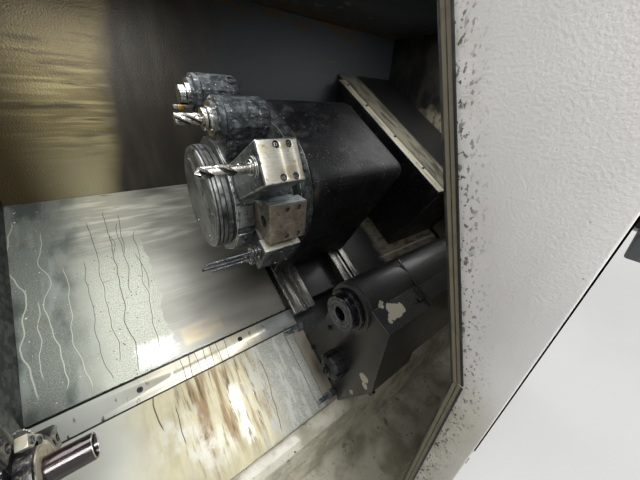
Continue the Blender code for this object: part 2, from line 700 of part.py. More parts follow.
def make_strip():
    """The fixed strip between the two sliding covers, on its web."""
    left = -CHAMBER_LEFT + RUN_GAP
    strip = block(slant, (left, STRIP_S[0], -STRIP_TOP_N - SHEET), (STRIP_END, STRIP_S[1], -STRIP_TOP_N))
    middle = (STRIP_S[0] + STRIP_S[1]) / 2
    web = block(slant, (left, middle - STRIP_WEB / 2, -BED_TOP_N + SEAT),
                (STRIP_END, middle + STRIP_WEB / 2, -STRIP_TOP_N - SEAT))
    strip = join(strip, web)
    for share in STRIP_SCREW_SHARES:
        x = left + share * (STRIP_END - left)
        head = rod(slant, (x, middle, -STRIP_TOP_N - SHEET / 2), (x, middle, -STRIP_TOP_N + SEAT),
                   STRIP_SCREW_RADIUS, TINY_ROUND)
        join(strip, head)
    finish(strip, "cover_strip", stainless)


def make_turret():
    """Turret housing on its slide, the twelve-sided drum with its rear disc, and the front cap."""
    low = -GUIDE_TOP_N + SEAT
    slide = block(slant, (DISC_THICK + RUN_GAP, SLIDE_S[0], low), (HOUSING_RIGHT, SLIDE_S[1], HOUSING_N[0] + OVERRUN),
                  edge=RUN_GAP)
    housing = block(slant, (DISC_THICK + SEAT, HOUSING_S[0], HOUSING_N[0]),
                    (HOUSING_RIGHT, HOUSING_S[1], HOUSING_N[1]), edge=HOUSING_BEVEL, segments=3)
    finish(join(slide, housing), "turret_housing", cast_black)
    sector = 2 * math.pi / STATIONS
    corner = DRUM_FLAT / math.cos(sector / 2)
    outline = [(corner * math.cos(STATION_ANGLE + sector * (i + 0.5)), corner * math.sin(STATION_ANGLE + sector * (i + 0.5)))
               for i in range(STATIONS)]
    drum = prism(turret, outline, -DRUM_FRONT, OVERRUN)
    disc = rod(turret, (0.0, 0.0, 0.0), (DISC_THICK, 0.0, 0.0), DISC_RADIUS, ROUND)
    join(drum, disc)
    for i in range(STATIONS):
        pad = block(turret, (PAD_SPAN[0], DRUM_FLAT - PAD_HEIGHT, -PAD_HALF),
                    (PAD_SPAN[1], DRUM_FLAT + PAD_HEIGHT, PAD_HALF))
        join(drum, turn_about(pad, STATION_ANGLE + sector * i))
    finish(drum, "turret_drum", turret_steel)
    back = -DRUM_FRONT - SEAT
    rim = CAP_RADIUS - CAP_STEP
    profile = [(0.0, back), (CAP_RADIUS, back), (CAP_RADIUS, -CAP_FRONT + 2 * CAP_RIM), (rim, -CAP_FRONT + 2 * CAP_RIM),
               (rim, -CAP_FRONT + CAP_RIM), (CAP_RADIUS - SEAT, -CAP_FRONT + CAP_RIM), (CAP_RADIUS - SEAT, -CAP_FRONT),
               (0.0, -CAP_FRONT)]
    finish(turned(turret, profile), "turret_cap", blackened_steel)


def station(number):
    """The angle of a turret station, counted from the drill block's."""
    return STATION_ANGLE + 2 * math.pi / STATIONS * number


def block_on_drum(sizes):
    """A tool block on a drum flat: a narrow foot and a wider head, before it is turned to its station."""
    left, right, half, top = sizes
    foot = block(turret, (max(left, BLOCK_BASE_LEFT), DRUM_FLAT + SEAT, -BLOCK_BASE_HALF),
                 (right, BLOCK_BASE_TOP + OVERRUN, BLOCK_BASE_HALF))
    head = block(turret, (left, BLOCK_BASE_TOP, -half), (right, top, half), edge=BLOCK_EDGE)
    return join(head, foot)


def bolt_pockets(piece, sizes):
    """Four counterbored bolt holes in a block's outer face."""
    left, right, half, top = sizes
    inset = half * BOLT_INSET_SHARE
    for x in [left + (right - left) * share for share in BOLT_SHARES]:
        for t in (-half + inset, half - inset):
            cut(piece, rod(turret, (x, top - BOLT_DEPTH, t), (x, top + OVERRUN, t), BOLT_RADIUS, TINY_ROUND))


def make_static_blocks():
    """Drill block with its twist drill, the empty turning block and the gang block with small tools."""
    drill_block = block_on_drum(DRILL_BLOCK)
    bolt_pockets(drill_block, DRILL_BLOCK)
    left = DRILL_BLOCK[0]
    socket = rod(turret, (left - OVERRUN, DRILL_R, 0.0), (left + DRILL_SHANK, DRILL_R, 0.0), DRILL_RADIUS + SEAT)
    collar = rod(turret, (left - 2 * RUN_GAP, DRILL_R, 0.0), (left + RUN_GAP, DRILL_R, 0.0), 2 * DRILL_RADIUS)
    drill_block = cut(join(drill_block, collar), socket)
    finish(turn_about(drill_block, station(0)), "drill_block", bright_block)
    shank = left + DRILL_SHANK - SEAT
    shoulder = -DRILL_TIP + POINT_LENGTH
    drill = rod(turret, (shank, DRILL_R, 0.0), (shoulder, DRILL_R, 0.0), DRILL_RADIUS)
    point = rod(turret, (shoulder + SEAT, DRILL_R, 0.0), (-DRILL_TIP, DRILL_R, 0.0), DRILL_RADIUS - SEAT, tip=SEAT)
    finish(turn_about(join(drill, point), station(0)), "twist_drill", ground_steel)

    turning = block_on_drum(TURNING_BLOCK)
    bolt_pockets(turning, TURNING_BLOCK)
    left = TURNING_BLOCK[0]
    bore = rod(turret, (left - OVERRUN, BORE_R, 0.0), (left + BORE_DEPTH, BORE_R, 0.0), BORE_RADIUS)
    finish(turn_about(cut(turning, bore), station(1)), "turning_block", bright_block)

    gang = block_on_drum(GANG_BLOCK)
    bolt_pockets(gang, GANG_BLOCK)
    left = GANG_BLOCK[0]
    for radial, across, tip in GANG_TOOLS:
        nose = rod(turret, (left + OVERRUN, radial, across), (left - GANG_NOSE_LENGTH, radial, across),
                   GANG_NOSE_RADIUS, TINY_ROUND, tip=GANG_NOSE_RADIUS * GANG_TAPER_SHARE)
        tool = rod(turret, (left - GANG_NOSE_LENGTH / 2, radial, across), (-tip, radial, across),
                   GANG_TOOL_RADIUS, TINY_ROUND)
        join(gang, nose, tool)
    finish(turn_about(gang, station(2)), "gang_block", bright_block)


def round_holder(span):
    """The body of a round tool holder: a foot, a square waist and a round barrel along the tool."""
    left, right = span
    foot = block(turret, (BLOCK_BASE_LEFT, DRUM_FLAT + SEAT, -BLOCK_BASE_HALF),
                 (right, BLOCK_BASE_TOP + OVERRUN, BLOCK_BASE_HALF))
    waist = block(turret, (left, BLOCK_BASE_TOP, -HOLDER_HALF), (right, HOLDER_R, HOLDER_HALF), edge=BLOCK_EDGE)
    barrel = rod(turret, (left + RUN_GAP, HOLDER_R, 0.0), (right - RUN_GAP, HOLDER_R, 0.0), HOLDER_RADIUS, ROUND)
    collar = rod(turret, (left - COLLAR_LENGTH, HOLDER_R, 0.0), (left + OVERRUN, HOLDER_R, 0.0), COLLAR_RADIUS, ROUND)
    return join(waist, foot, barrel, collar)


def make_round_holders():
    """The live holder with its end mill, and the boring holder with its insert."""
    live = round_holder(LIVE_SPAN)
    finish(turn_about(live, station(-1)), "live_holder", turret_steel)
    start = LIVE_SPAN[0] - COLLAR_LENGTH - SEAT
    nut = rod(turret, (start, HOLDER_R, 0.0), (start - MILL_NUT_LENGTH, HOLDER_R, 0.0), MILL_NUT_RADIUS)
    mill = rod(turret, (start - MILL_NUT_LENGTH / 2, HOLDER_R, 0.0), (-MILL_TIP, HOLDER_R, 0.0), MILL_RADIUS)
    mill = turn_about(join(nut, mill), station(-1))
    angle = station(-1)
    finish(mill, "end_mill", ground_steel, (0.0, HOLDER_R * math.cos(angle), HOLDER_R * math.sin(angle)))
    boring = round_holder(BORING_SPAN)
    start = BORING_SPAN[0] - COLLAR_LENGTH
    nose = rod(turret, (start + RUN_GAP, HOLDER_R, 0.0), (start - BAR_NOSE_LENGTH, HOLDER_R, 0.0), BAR_NOSE_RADIUS)
    low = HOLDER_R - BAR_NOSE_RADIUS
    tip = block(turret, (start - BAR_NOSE_LENGTH - INSERT_REACH, low, -INSERT_HALF),
                (start - BAR_NOSE_LENGTH / 2, low + 2 * INSERT_HALF, INSERT_HALF), edge=RUN_GAP)
    finish(turn_about(join(boring, nose, tip), station(-2)), "boring_holder", turret_steel)


def make_tailstock():
    """Tailstock body with its joint step, the quill with its taper socket and the round clamp knob."""
    s, n = FACE_S, FACE_N
    outline = [(s[0], n[0]), (s[4], n[0]), (s[3], n[4]), (s[5], n[5]), (s[5], 0.0), (s[2], n[3]), (s[1], n[2]), (s[0], n[1])]
    body = prism(slant, outline, TAIL_LEFT, TAIL_JOINT)
    inner = [(x - math.copysign(TAIL_STEP, x) if x < 0.0 else x - TAIL_STEP, y - TAIL_STEP if y > n[0] else y)
             for x, y in outline]
    inner = [(x + 2 * TAIL_STEP if x < 0.0 else x, y) for x, y in inner]
    rear = prism(slant, inner, TAIL_JOINT - OVERRUN, TAIL_RIGHT)
    foot = block(slant, (TAIL_LEFT + TAIL_STEP, FOOT_S[0], -BED_TOP_N + TAIL_WAY_HEIGHT + SEAT),
                 (TAIL_RIGHT - TAIL_STEP, FOOT_S[1], n[0] + OVERRUN))
    boss = rod(slant, (TAIL_LEFT, 0.0, 0.0), (TAIL_RIGHT - OVERRUN, 0.0, 0.0), BOSS_RADIUS, ROUND)
    seal = rod(slant, (TAIL_LEFT - SEAL_THICK, 0.0, 0.0), (TAIL_LEFT + OVERRUN, 0.0, 0.0), SEAL_RADIUS, ROUND)
    bore = rod(slant, (TAIL_LEFT - 2 * SEAL_THICK, 0.0, 0.0), (QUILL_LENGTH + OVERRUN, 0.0, 0.0), QUILL_RADIUS + SEAT,
               ROUND)
    finish(cut(join(body, rear, foot, boss, seal), bore), "tailstock_body", chipped_black)
    profile = [(0.0, QUILL_LENGTH), (QUILL_RADIUS, QUILL_LENGTH), (QUILL_RADIUS, QUILL_CHAMFER),
               (QUILL_RADIUS - QUILL_CHAMFER, 0.0), (SOCKET_RADIUS + QUILL_CHAMFER, 0.0),
               (SOCKET_RADIUS, QUILL_CHAMFER), (SOCKET_RADIUS, SOCKET_DEPTH), (0.0, SOCKET_DEPTH)]
    finish(turned(slant, profile), "quill", blackened_steel)
    centre = (TAIL_LEFT, KNOB_S, KNOB_N)
    dome = [(KNOB_RADIUS * math.sin(math.pi / 2 * share), TAIL_LEFT - KNOB_LENGTH + KNOB_DOME * (1 - math.cos(math.pi / 2 * share)))
            for share in DOME_SHARES]
    knob = turned(slant, [(0.0, TAIL_LEFT - SEAT), (KNOB_RADIUS, TAIL_LEFT - SEAT)] + list(reversed(dome)),
                  sides=SMALL_ROUND)
    knob.data.transform(Matrix.Translation((0.0, KNOB_S, KNOB_N)))
    finish(knob, "clamp_knob", cast_black, centre)
    under = -COVER_N - SHEET
    sheet = block(slant, (-COVER_LEFT, TAIL_COVER_S[0], under), (TAIL_LEFT - SEAT, TAIL_COVER_S[1], -COVER_N))
    lip = block(slant, (-COVER_LEFT, TAIL_COVER_S[0] - SHEET, -COVER_N - LIP_DROP),
                (TAIL_LEFT - SEAT, TAIL_COVER_S[0] + SHEET, -COVER_N - SEAT))
    band = block(slant, (-TAIL_COVER_END, TAIL_COVER_S[0] + SHEET / 2, under + SEAT),
                 (COVER_RIGHT, TAIL_COVER_S[1] - SHEET / 2, -COVER_N + BAND_RISE))
    finish(join(sheet, lip, band), "tailstock_cover", stainless)


def chamber_outline():
    """The cross-section of the work chamber in (y, z), down to the chip pan."""
    rear = BACK_WALL_FACE - SEAT
    top = ROOF_UNDER - SEAT
    gap_n = -COVER_N + RUN_GAP
    lean = (INNER_FACE - INNER_TOP_FACE) / (ROOF_UNDER - BEND_HEIGHT)
    top_front = -CHAMBER_FRONT + lean * (top - BEND_HEIGHT)
    front_y = slope(-BED_FRONT_S, -BED_TOP_N)[0]
    foot = front_y - BED_GAP
    return [(-CHAMBER_FRONT, -PAN_FLOOR_DROP), (-CHAMBER_FRONT, BEND_HEIGHT), (top_front, top), (rear, top),
            (rear, slope(slope_at_y(rear, gap_n), gap_n)[1]), slope(LIP_EDGE_S, gap_n), (foot, -PAN_FLOOR_DROP)]


def make_chamber():
    """The two end walls of the work chamber, its back wall and the roof."""
    outline = chamber_outline()
    left = prism(machine, outline, -CHAMBER_LEFT - CHAMBER_WALL, -CHAMBER_LEFT)
    hole = rod(machine, (-CHAMBER_LEFT - 2 * OVERRUN, 0.0, 0.0), (-CHAMBER_LEFT + OVERRUN, 0.0, 0.0), NOSE_HOLE_RADIUS,
               ROUND)
    finish(cut(left, hole), "chamber_wall_left", stained_dark)
    right = prism(machine, outline, CHAMBER_RIGHT, CHAMBER_RIGHT + CHAMBER_WALL)
    finish(right, "chamber_wall_right", stained_cream)
    ledge_z = slope(slope_at_y(REAR_FACE - BED_LEDGE, -BED_TOP_N), -BED_TOP_N)[1]
    back = block(machine, (INSIDE_LEFT + SEAT, BACK_WALL_FACE, ledge_z + SEAT),
                 (INSIDE_RIGHT - SEAT, REAR_FACE, ROOF_UNDER - SEAT))
    finish(back, "back_wall", stained_bronze)
    roof = block(machine, (INSIDE_LEFT + SEAT, ROOF_FRONT, ROOF_UNDER), (INSIDE_RIGHT - SEAT, REAR_FACE, ROOF_TOP))
    finish(roof, "roof_panel", painted_white)


def make_pan():
    """The cream chip pan: a folded sheet from the ledge under the covers, down and up to the front."""
    ledge = [slope(s, -PAN_LEDGE_N) for s in reversed(PAN_LEDGE_S)]
    sill = -SILL_DROP - PAN_CLEAR - PAN_SHEET / 2
    top = ledge + [(-PAN_REAR, -PAN_BOTTOM), (-PAN_FRONT, -PAN_BOTTOM), (-PAN_LIP, sill),
                   (-OUTER_FACE + APRON_THICK + RUN_GAP, sill)]
    shape = bmesh.new()
    left = -CHAMBER_LEFT + SEAT
    right = CHAMBER_RIGHT - SEAT
    near = [shape.verts.new((left, y, z)) for y, z in top]
    run = [shape.edges.new(pair) for pair in zip(near, near[1:])]
    swept = bmesh.ops.extrude_edge_only(shape, edges=run)["geom"]
    far = [item for item in swept if isinstance(item, bmesh.types.BMVert)]
    bmesh.ops.translate(shape, vec=(right - left, 0.0, 0.0), verts=far)
    mesh = bpy.data.meshes.new("pan")
    shape.to_mesh(mesh)
    shape.free()
    pan = bpy.data.objects.new("pan", mesh)
    parts.objects.link(pan)
    pan.parent = machine
    wall = pan.modifiers.new("sheet", "SOLIDIFY")
    wall.thickness = PAN_SHEET
    wall.offset = 0.0
    wall.use_even_offset = True
    finish(pan, "chip_pan", cream_paint)


def make_guard():
    """The dark box guard at the right of the chamber, open below and to the right, with its bolted flange."""
    gap_n = -COVER_N + RUN_GAP
    rear = BACK_WALL_FACE - SEAT
    outline = [(GUARD_S, gap_n), (slope_at_y(rear, gap_n), gap_n), (slope_at_y(rear, GUARD_N), GUARD_N), (GUARD_S, GUARD_N)]
    right = CHAMBER_RIGHT - SEAT
    guard = prism(slant, outline, GUARD_X, right)
    t = GUARD_SHEET
    deep_n = gap_n - OVERRUN
    hollow = [(GUARD_S + t, deep_n), (slope_at_y(rear, deep_n) + OVERRUN, deep_n),
              (slope_at_y(rear, GUARD_N - t) + OVERRUN, GUARD_N - t), (GUARD_S + t, GUARD_N - t)]
    guard = cut(guard, prism(slant, hollow, GUARD_X + t, right + OVERRUN))
    end = slope_at_y(rear, GUARD_N)
    flange = block(slant, (GUARD_X - FLANGE_LAP, GUARD_S, GUARD_N - t), (GUARD_X + FLANGE_WIDTH, end - FLANGE_WIDTH, GUARD_N + FLANGE_THICK))
    finish(join(guard, flange), "side_guard", guard_paint)


def front_outline(inner, outer=OUTER_FACE):
    """The side outline of the door and of the fixed left cover in (y, z)."""
    bottom = -SILL_DROP
    crest = ROOF_TOP - CREST_DROP
    return [(-outer, bottom), (-inner, bottom), (-inner, BEND_HEIGHT), (-INNER_TOP_FACE - inner + INNER_FACE, ROOF_UNDER),
            (-INNER_TOP_FACE - inner + INNER_FACE, crest), (-CREST_FACE, crest), (-outer, SHOULDER_HEIGHT)]


def front_shell(start, end):
    """A deep sheet-metal shell with the front's outline, open to the chamber side."""
    shell = prism(machine, front_outline(INNER_FACE), start, end)
    t = SHELL_WALL
    crest = ROOF_TOP - CREST_DROP - t
    deep = [(-OUTER_FACE + t, -SILL_DROP + t), (OVERRUN, -SILL_DROP + t), (OVERRUN, crest), (-CREST_FACE + t / 2, crest),
            (-OUTER_FACE + t, SHOULDER_HEIGHT - t / 2)]
    return cut(shell, prism(machine, deep, start + t, end - t))


def make_door():
    """The sliding door, its window pane and its handle."""
    start = -DOOR_LEAD
    end = start + DOOR_WIDTH
    door = front_shell(start, end)
    low = (start + WINDOW_INSET, -OUTER_FACE - OVERRUN, -WINDOW_LOW)
    high = (end - WINDOW_INSET, -OUTER_FACE + SHELL_WALL + OVERRUN, WINDOW_HIGH)
    cut(door, block(machine, low, high))
    finish(door, "door_shell", painted_white)
    middle = -OUTER_FACE + SHELL_WALL / 2
    pane = block(machine, (low[0] + SEAT, middle - PANE_THICK / 2, low[2] + SEAT),
                 (high[0] - SEAT, middle + PANE_THICK / 2, high[2] - SEAT))
    finish(pane, "door_window", smoked_glass)
    x = start + HANDLE_INSET
    face = -OUTER_FACE - SEAT
    grip = face - HANDLE_STAND
    bar = rod(machine, (x, grip, HANDLE_LOW), (x, grip, HANDLE_HIGH), HANDLE_RADIUS)
    inset = 2 * HANDLE_RADIUS
    posts = [rod(machine, (x, face, z), (x, grip, z), HANDLE_RADIUS - RUN_GAP, TINY_ROUND)
             for z in (HANDLE_LOW + inset, HANDLE_HIGH - inset)]
    finish(join(bar, *posts), "door_handle", dark_steel)


def make_front():
    """Fixed left front cover, the bent sheet behind the open door with its column, and the low apron."""
    left = front_shell(INSIDE_LEFT + SEAT, -JAMB_X)
    finish(left, "front_left_cover", painted_white)
    face = INNER_FACE - FIXED_FRONT_GAP
    back = face - FIXED_FRONT_THICK
    low = -SILL_DROP
    top = ROOF_UNDER - SEAT
    shift = INNER_TOP_FACE - INNER_FACE
    outline = [(-face, low), (-back, low), (-back, BEND_HEIGHT), (-back - shift, top), (-face - shift, top),
               (-face, BEND_HEIGHT)]
    sheet = prism(machine, outline, FIXED_FRONT_START, INSIDE_RIGHT - SEAT)
    column = prism(machine, front_outline(face - SEAT), COLUMN_START, INSIDE_RIGHT - SEAT)
    sheet = join(sheet, column)
    pin_x = PANEL_RIGHT + HINGE_RADIUS + HINGE_WALL
    pin_y = PANEL_BACK
    pin = rod(machine, (pin_x, pin_y, PANEL_LOW), (pin_x, pin_y, PANEL_HIGH), HINGE_RADIUS, TINY_ROUND)
    lugs = [block(machine, (pin_x - HINGE_RADIUS, pin_y - HINGE_RADIUS, z), (pin_x + HINGE_RADIUS, -OUTER_FACE + OVERRUN, z + HINGE_WALL * 2))
            for z in (PANEL_LOW, PANEL_HIGH - HINGE_WALL * 2)]
    finish(join(sheet, *lugs, pin), "front_right_cover", painted_white)
    front = -OUTER_FACE
    tank_top = FLOOR + TANK_LIFT + TANK_HEIGHT
    apron = block(machine, (INSIDE_LEFT + SEAT, front, BED_BOTTOM),
                  (INSIDE_RIGHT - SEAT, front + APRON_THICK, -SILL_DROP - SEAT))
    side = TANK_FLANGE + TANK_CLEAR
    opening = block(machine, (-TANK_LEFT - side, front - OVERRUN, BED_BOTTOM - OVERRUN),
                    (TANK_RIGHT + side, front + APRON_THICK + OVERRUN, tank_top + TANK_CLEAR))
    finish(cut(apron, opening), "front_apron", painted_grey)


def make_end_covers():
    """The left and right end covers, with the bar hole in the left one."""
    crest = ROOF_TOP
    outline = [(-OUTER_FACE, BED_BOTTOM), (REAR_FACE, BED_BOTTOM), (REAR_FACE, crest), (-CREST_FACE, crest),
               (-OUTER_FACE, SHOULDER_HEIGHT)]
    left = prism(machine, outline, -HEADSTOCK_REACH, INSIDE_LEFT)
    hole = rod(machine, (-HEADSTOCK_REACH - OVERRUN, 0.0, 0.0), (INSIDE_LEFT + OVERRUN, 0.0, 0.0), BAR_HOLE_RADIUS)
    finish(cut(left, hole), "left_cover", painted_white)
    right = prism(machine, outline, INSIDE_RIGHT, TAIL_REACH)
    finish(right, "right_cover", painted_white)


def make_cabinet():
    """The electrical cabinet on the back, its drive units and its hinged door."""
    front = REAR_FACE + SEAT
    rear = front + CABINET_DEPTH
    box = block(machine, (-CABINET_LEFT, front, -CABINET_LOW), (CABINET_RIGHT, rear, CABINET_HIGH))
    t = CABINET_WALL
    hollow = block(machine, (-CABINET_LEFT + t, front + t, -CABINET_LOW + t),
                   (CABINET_RIGHT - t, rear + OVERRUN, CABINET_HIGH - t))
    box = cut(box, hollow)
    pitch = (CABINET_LEFT + CABINET_RIGHT) / CABINET_UNITS
    for i in range(CABINET_UNITS):
        x = -CABINET_LEFT + pitch * (i + 0.5)
        unit = block(machine, (x - UNIT_WIDTH / 2, front + t / 2, -UNIT_HEIGHT / 2),
                     (x + UNIT_WIDTH / 2, front + t + UNIT_DEPTH, UNIT_HEIGHT / 2))
        join(box, unit)
    knuckle = HINGE_RADIUS + HINGE_WALL
    pin_x = -CABINET_LEFT - knuckle - RUN_GAP
    pin_y = rear - knuckle
    ends = (-CABINET_LOW + HINGE_LENGTH, CABINET_HIGH - HINGE_LENGTH)
    pin_bottom = -CABINET_LOW + HINGE_LENGTH / 2
    pin_top = CABINET_HIGH - HINGE_LENGTH / 2
    for z, way in ((pin_bottom, 1), (pin_top, -1)):
        lug = block(machine, (pin_x - HINGE_RADIUS, pin_y - HINGE_RADIUS, min(z, z + way * HINGE_WALL)),
                    (-CABINET_LEFT + t / 2, pin_y + HINGE_RADIUS, max(z, z + way * HINGE_WALL)))
        pin = rod(machine, (pin_x, pin_y, z), (pin_x, pin_y, z + way * HINGE_LENGTH), HINGE_RADIUS, TINY_ROUND)
        join(box, lug, pin)
    finish(box, "rear_cabinet", painted_grey)
    face = rear + RUN_GAP
    door = block(machine, (-CABINET_LEFT, face, -CABINET_LOW), (CABINET_RIGHT, face + CABINET_DOOR, CABINET_HIGH),
                 edge=RUN_GAP)
    for z, way in zip(ends, (1, -1)):
        start = z - way * (HINGE_LENGTH / 2 - HINGE_WALL - RUN_GAP)
        stop = start + way * (HINGE_LENGTH / 2)
        barrel = rod(machine, (pin_x, pin_y, start), (pin_x, pin_y, stop), knuckle)
        arm = block(machine, (pin_x - knuckle, pin_y, min(start, stop)), (-CABINET_LEFT + t, face + CABINET_DOOR, max(start, stop)))
        clear = block(machine, (pin_x + knuckle, pin_y - OVERRUN, min(start, stop) - OVERRUN),
                      (-CABINET_LEFT + 2 * t, face, max(start, stop) + OVERRUN))
        hole = rod(machine, (pin_x, pin_y, z - HINGE_LENGTH), (pin_x, pin_y, z + HINGE_LENGTH), HINGE_RADIUS + SEAT,
                   TINY_ROUND)
        door = cut(join(door, cut(arm, clear), barrel), hole)
    finish(door, "cabinet_door", painted_grey, (pin_x, pin_y, 0.0))


def make_panel():
    """The operator panel on its upright hinge, with its screen recess and controls."""
    face = PANEL_FACE
    back = PANEL_BACK
    middle_y = (face + back) / 2
    panel = block(machine, (PANEL_LEFT, face, PANEL_LOW), (PANEL_RIGHT, back, PANEL_HIGH), edge=PANEL_EDGE, segments=2)
    screen = block(machine, (PANEL_LEFT + SCREEN_INSET, face - OVERRUN, PANEL_HIGH - SCREEN_INSET - SCREEN_HEIGHT),
                   (PANEL_RIGHT - SCREEN_INSET, face + SCREEN_DEPTH, PANEL_HIGH - SCREEN_INSET))
    cut(panel, screen)
    knuckle = HINGE_RADIUS + HINGE_WALL
    pin_x = PANEL_RIGHT + knuckle
    low = PANEL_LOW + 2 * HINGE_WALL + RUN_GAP
    high = PANEL_HIGH - 2 * HINGE_WALL - RUN_GAP
    barrel = rod(machine, (pin_x, back, low), (pin_x, back, high), knuckle)
    arm = block(machine, (PANEL_RIGHT - OVERRUN, middle_y, low + OVERRUN), (pin_x + HINGE_WALL, back - RUN_GAP, high - OVERRUN))
    hole = rod(machine, (pin_x, back, PANEL_LOW - OVERRUN), (pin_x, back, PANEL_HIGH + OVERRUN), HINGE_RADIUS + SEAT,
               TINY_ROUND)
    panel = cut(join(panel, arm, barrel), hole)
    row = PANEL_LOW + CONTROL_DROP
    width = PANEL_RIGHT - PANEL_LEFT
    stop_x = PANEL_LEFT + width * STOP_SHARE
    start_x = PANEL_LEFT + width * START_SHARE
    wheel_x = PANEL_LEFT + width * WHEEL_SHARE
    for x, radius in ((stop_x, STOP_STEM), (start_x, START_RADIUS)):
        well = rod(machine, (x, face - OVERRUN, row), (x, face + STOP_REACH, row), radius + SEAT)
        cut(panel, well)
    finish(panel, "operator_panel", panel_grey, (pin_x, back, 0.0))
    head = rod(machine, (stop_x, face - STOP_REACH, row), (stop_x, face - STOP_TRAVEL_GAP, row), STOP_RADIUS)
    stem = rod(machine, (stop_x, face - STOP_REACH / 2, row), (stop_x, face + STOP_REACH / 2, row), STOP_STEM)
    finish(join(head, stem), "emergency_stop", red_plastic, (stop_x, face, row))
    button = rod(machine, (start_x, face - START_REACH, row), (start_x, face + START_REACH, row), START_RADIUS)
    finish(button, "start_button", green_plastic, (start_x, face, row))
    profile = [(0.0, SEAT), (WHEEL_RADIUS, SEAT), (WHEEL_RADIUS, WHEEL_REACH / 2), (WHEEL_RADIUS / 2, WHEEL_REACH), (0.0, WHEEL_REACH)]
    wheel = turned(machine, [(r, -h) for r, h in profile], sides=SMALL_ROUND, axis="Z")
    wheel.data.transform(Matrix.Rotation(-math.pi / 2, 4, "X"))
    wheel.data.transform(Matrix.Translation((wheel_x, face, row + START_RADIUS)))
    finish(wheel, "handwheel", black_plastic, (wheel_x, face, row + START_RADIUS))


def make_tank():
    """The coolant tank: a deep tub with side flanges that run on the bed's ledges, and a front plate."""
    low = FLOOR + TANK_LIFT
    top = low + TANK_HEIGHT
    front = -TANK_FRONT + APRON_THICK
    t = TANK_WALL
    tub = block(machine, (-TANK_LEFT, front, low), (TANK_RIGHT, TANK_REAR, top))
    flange = block(machine, (-TANK_LEFT - TANK_FLANGE, front, top - TANK_FLANGE_THICK),
                   (TANK_RIGHT + TANK_FLANGE, TANK_REAR, top))
    plate = block(machine, (-TANK_LEFT - TANK_FLANGE, -TANK_FRONT, low), (TANK_RIGHT + TANK_FLANGE, front + SEAT, top))
    hollow = block(machine, (-TANK_LEFT + t, front + t, low + t), (TANK_RIGHT - t, TANK_REAR - t, top + OVERRUN))
    finish(cut(join(tub, flange, plate), hollow), "coolant_tank", painted_grey)


def make_lamps():
    """The tubular work light under the roof and the signal lamp on it."""
    z = ROOF_UNDER - SEAT - LIGHT_RADIUS
    tube = rod(machine, (-LIGHT_LEFT, LIGHT_Y, z), (-LIGHT_LEFT + LIGHT_LENGTH, LIGHT_Y, z), LIGHT_RADIUS)
    finish(tube, "work_light", lamp_glass)
    z = ROOF_TOP + SEAT
    tiers = z + LAMP_POLE
    profile = [(0.0, tiers + LAMP_TIERS * LAMP_TIER)]
    for i in reversed(range(LAMP_TIERS)):
        profile.append((LAMP_RADIUS, tiers + (i + 1) * LAMP_TIER))
        profile.append((LAMP_RADIUS, tiers + i * LAMP_TIER + RUN_GAP))
        if i > 0:
            profile.append((LAMP_RADIUS - RUN_GAP, tiers + i * LAMP_TIER + RUN_GAP))
            profile.append((LAMP_RADIUS - RUN_GAP, tiers + i * LAMP_TIER))
    profile += [(LAMP_POLE_RADIUS, tiers + RUN_GAP), (LAMP_POLE_RADIUS, z + LAMP_POLE_RADIUS),
                (LAMP_RADIUS, z + LAMP_POLE_RADIUS), (LAMP_RADIUS, z), (0.0, z)]
    lamp = turned(machine, profile, sides=SMALL_ROUND, axis="Z")
    lamp.data.transform(Matrix.Translation((LAMP_X, LAMP_Y, 0.0)))
    finish(lamp, "signal_lamp", lamp_glass)


SLANT_UPRIGHT = math.pi / 2 - SLANT
STRIP_TOP_N = COVER_N - 0.001
LIP_EDGE_S = TAIL_COVER_S[0] - 4 * SHEET
BED_GAP = 0.009
GANG_TAPER_SHARE = 0.6
DOME_SHARES = (0.0, 0.35, 0.65, 0.85, 1.0)
STOP_SHARE = 0.16
START_SHARE = 0.38
WHEEL_SHARE = 0.76

clear_scene()
parts = collection("turning_lathe")
machine = frame_empty("machine_frame", (AXIS_X, AXIS_Y, SPINDLE_HEIGHT))
slant = frame_empty("slant_frame", (0.0, 0.0, 0.0), SLANT, machine)
turret = frame_empty("turret_frame", (0.0, TURRET_S, 0.0), 0.0, slant)

cast_grey = material("cast_grey", (0.22, 0.24, 0.25), 0.6, 0.0)
cast_black = material("cast_black", (0.02, 0.02, 0.022), 0.45, 0.0)
chipped_black = material("chipped_black", (0.015, 0.016, 0.018), 0.35, 0.0)
dark_steel = material("dark_steel", (0.10, 0.10, 0.11), 0.4, 0.9)
blackened_steel = material("blackened_steel", (0.05, 0.05, 0.055), 0.35, 0.8)
turret_steel = material("turret_steel", (0.25, 0.26, 0.27), 0.35, 0.9)
ground_steel = material("ground_steel", (0.55, 0.55, 0.55), 0.25, 1.0)
bright_block = material("bright_block", (0.60, 0.59, 0.56), 0.3, 1.0)
stainless = material("stainless", (0.62, 0.62, 0.60), 0.3, 1.0)
soft_jaw = material("soft_jaw", (0.65, 0.62, 0.55), 0.4, 0.9)
mill_scale = material("mill_scale", (0.05, 0.045, 0.05), 0.3, 0.7)
stained_bronze = material("stained_bronze", (0.10, 0.075, 0.045), 0.4, 0.6)
stained_dark = material("stained_dark", (0.10, 0.10, 0.09), 0.5, 0.3)
stained_cream = material("stained_cream", (0.30, 0.27, 0.20), 0.5, 0.0)
cream_paint = material("cream_paint", (0.62, 0.60, 0.50), 0.4, 0.0)
guard_paint = material("guard_paint", (0.05, 0.05, 0.055), 0.5, 0.0)
painted_white = material("painted_white", (0.78, 0.78, 0.78), 0.45, 0.0)
painted_grey = material("painted_grey", (0.35, 0.37, 0.38), 0.5, 0.0)
panel_grey = material("panel_grey", (0.12, 0.13, 0.14), 0.5, 0.0)
smoked_glass = material("smoked_glass", (0.10, 0.11, 0.12), 0.1, 0.0)
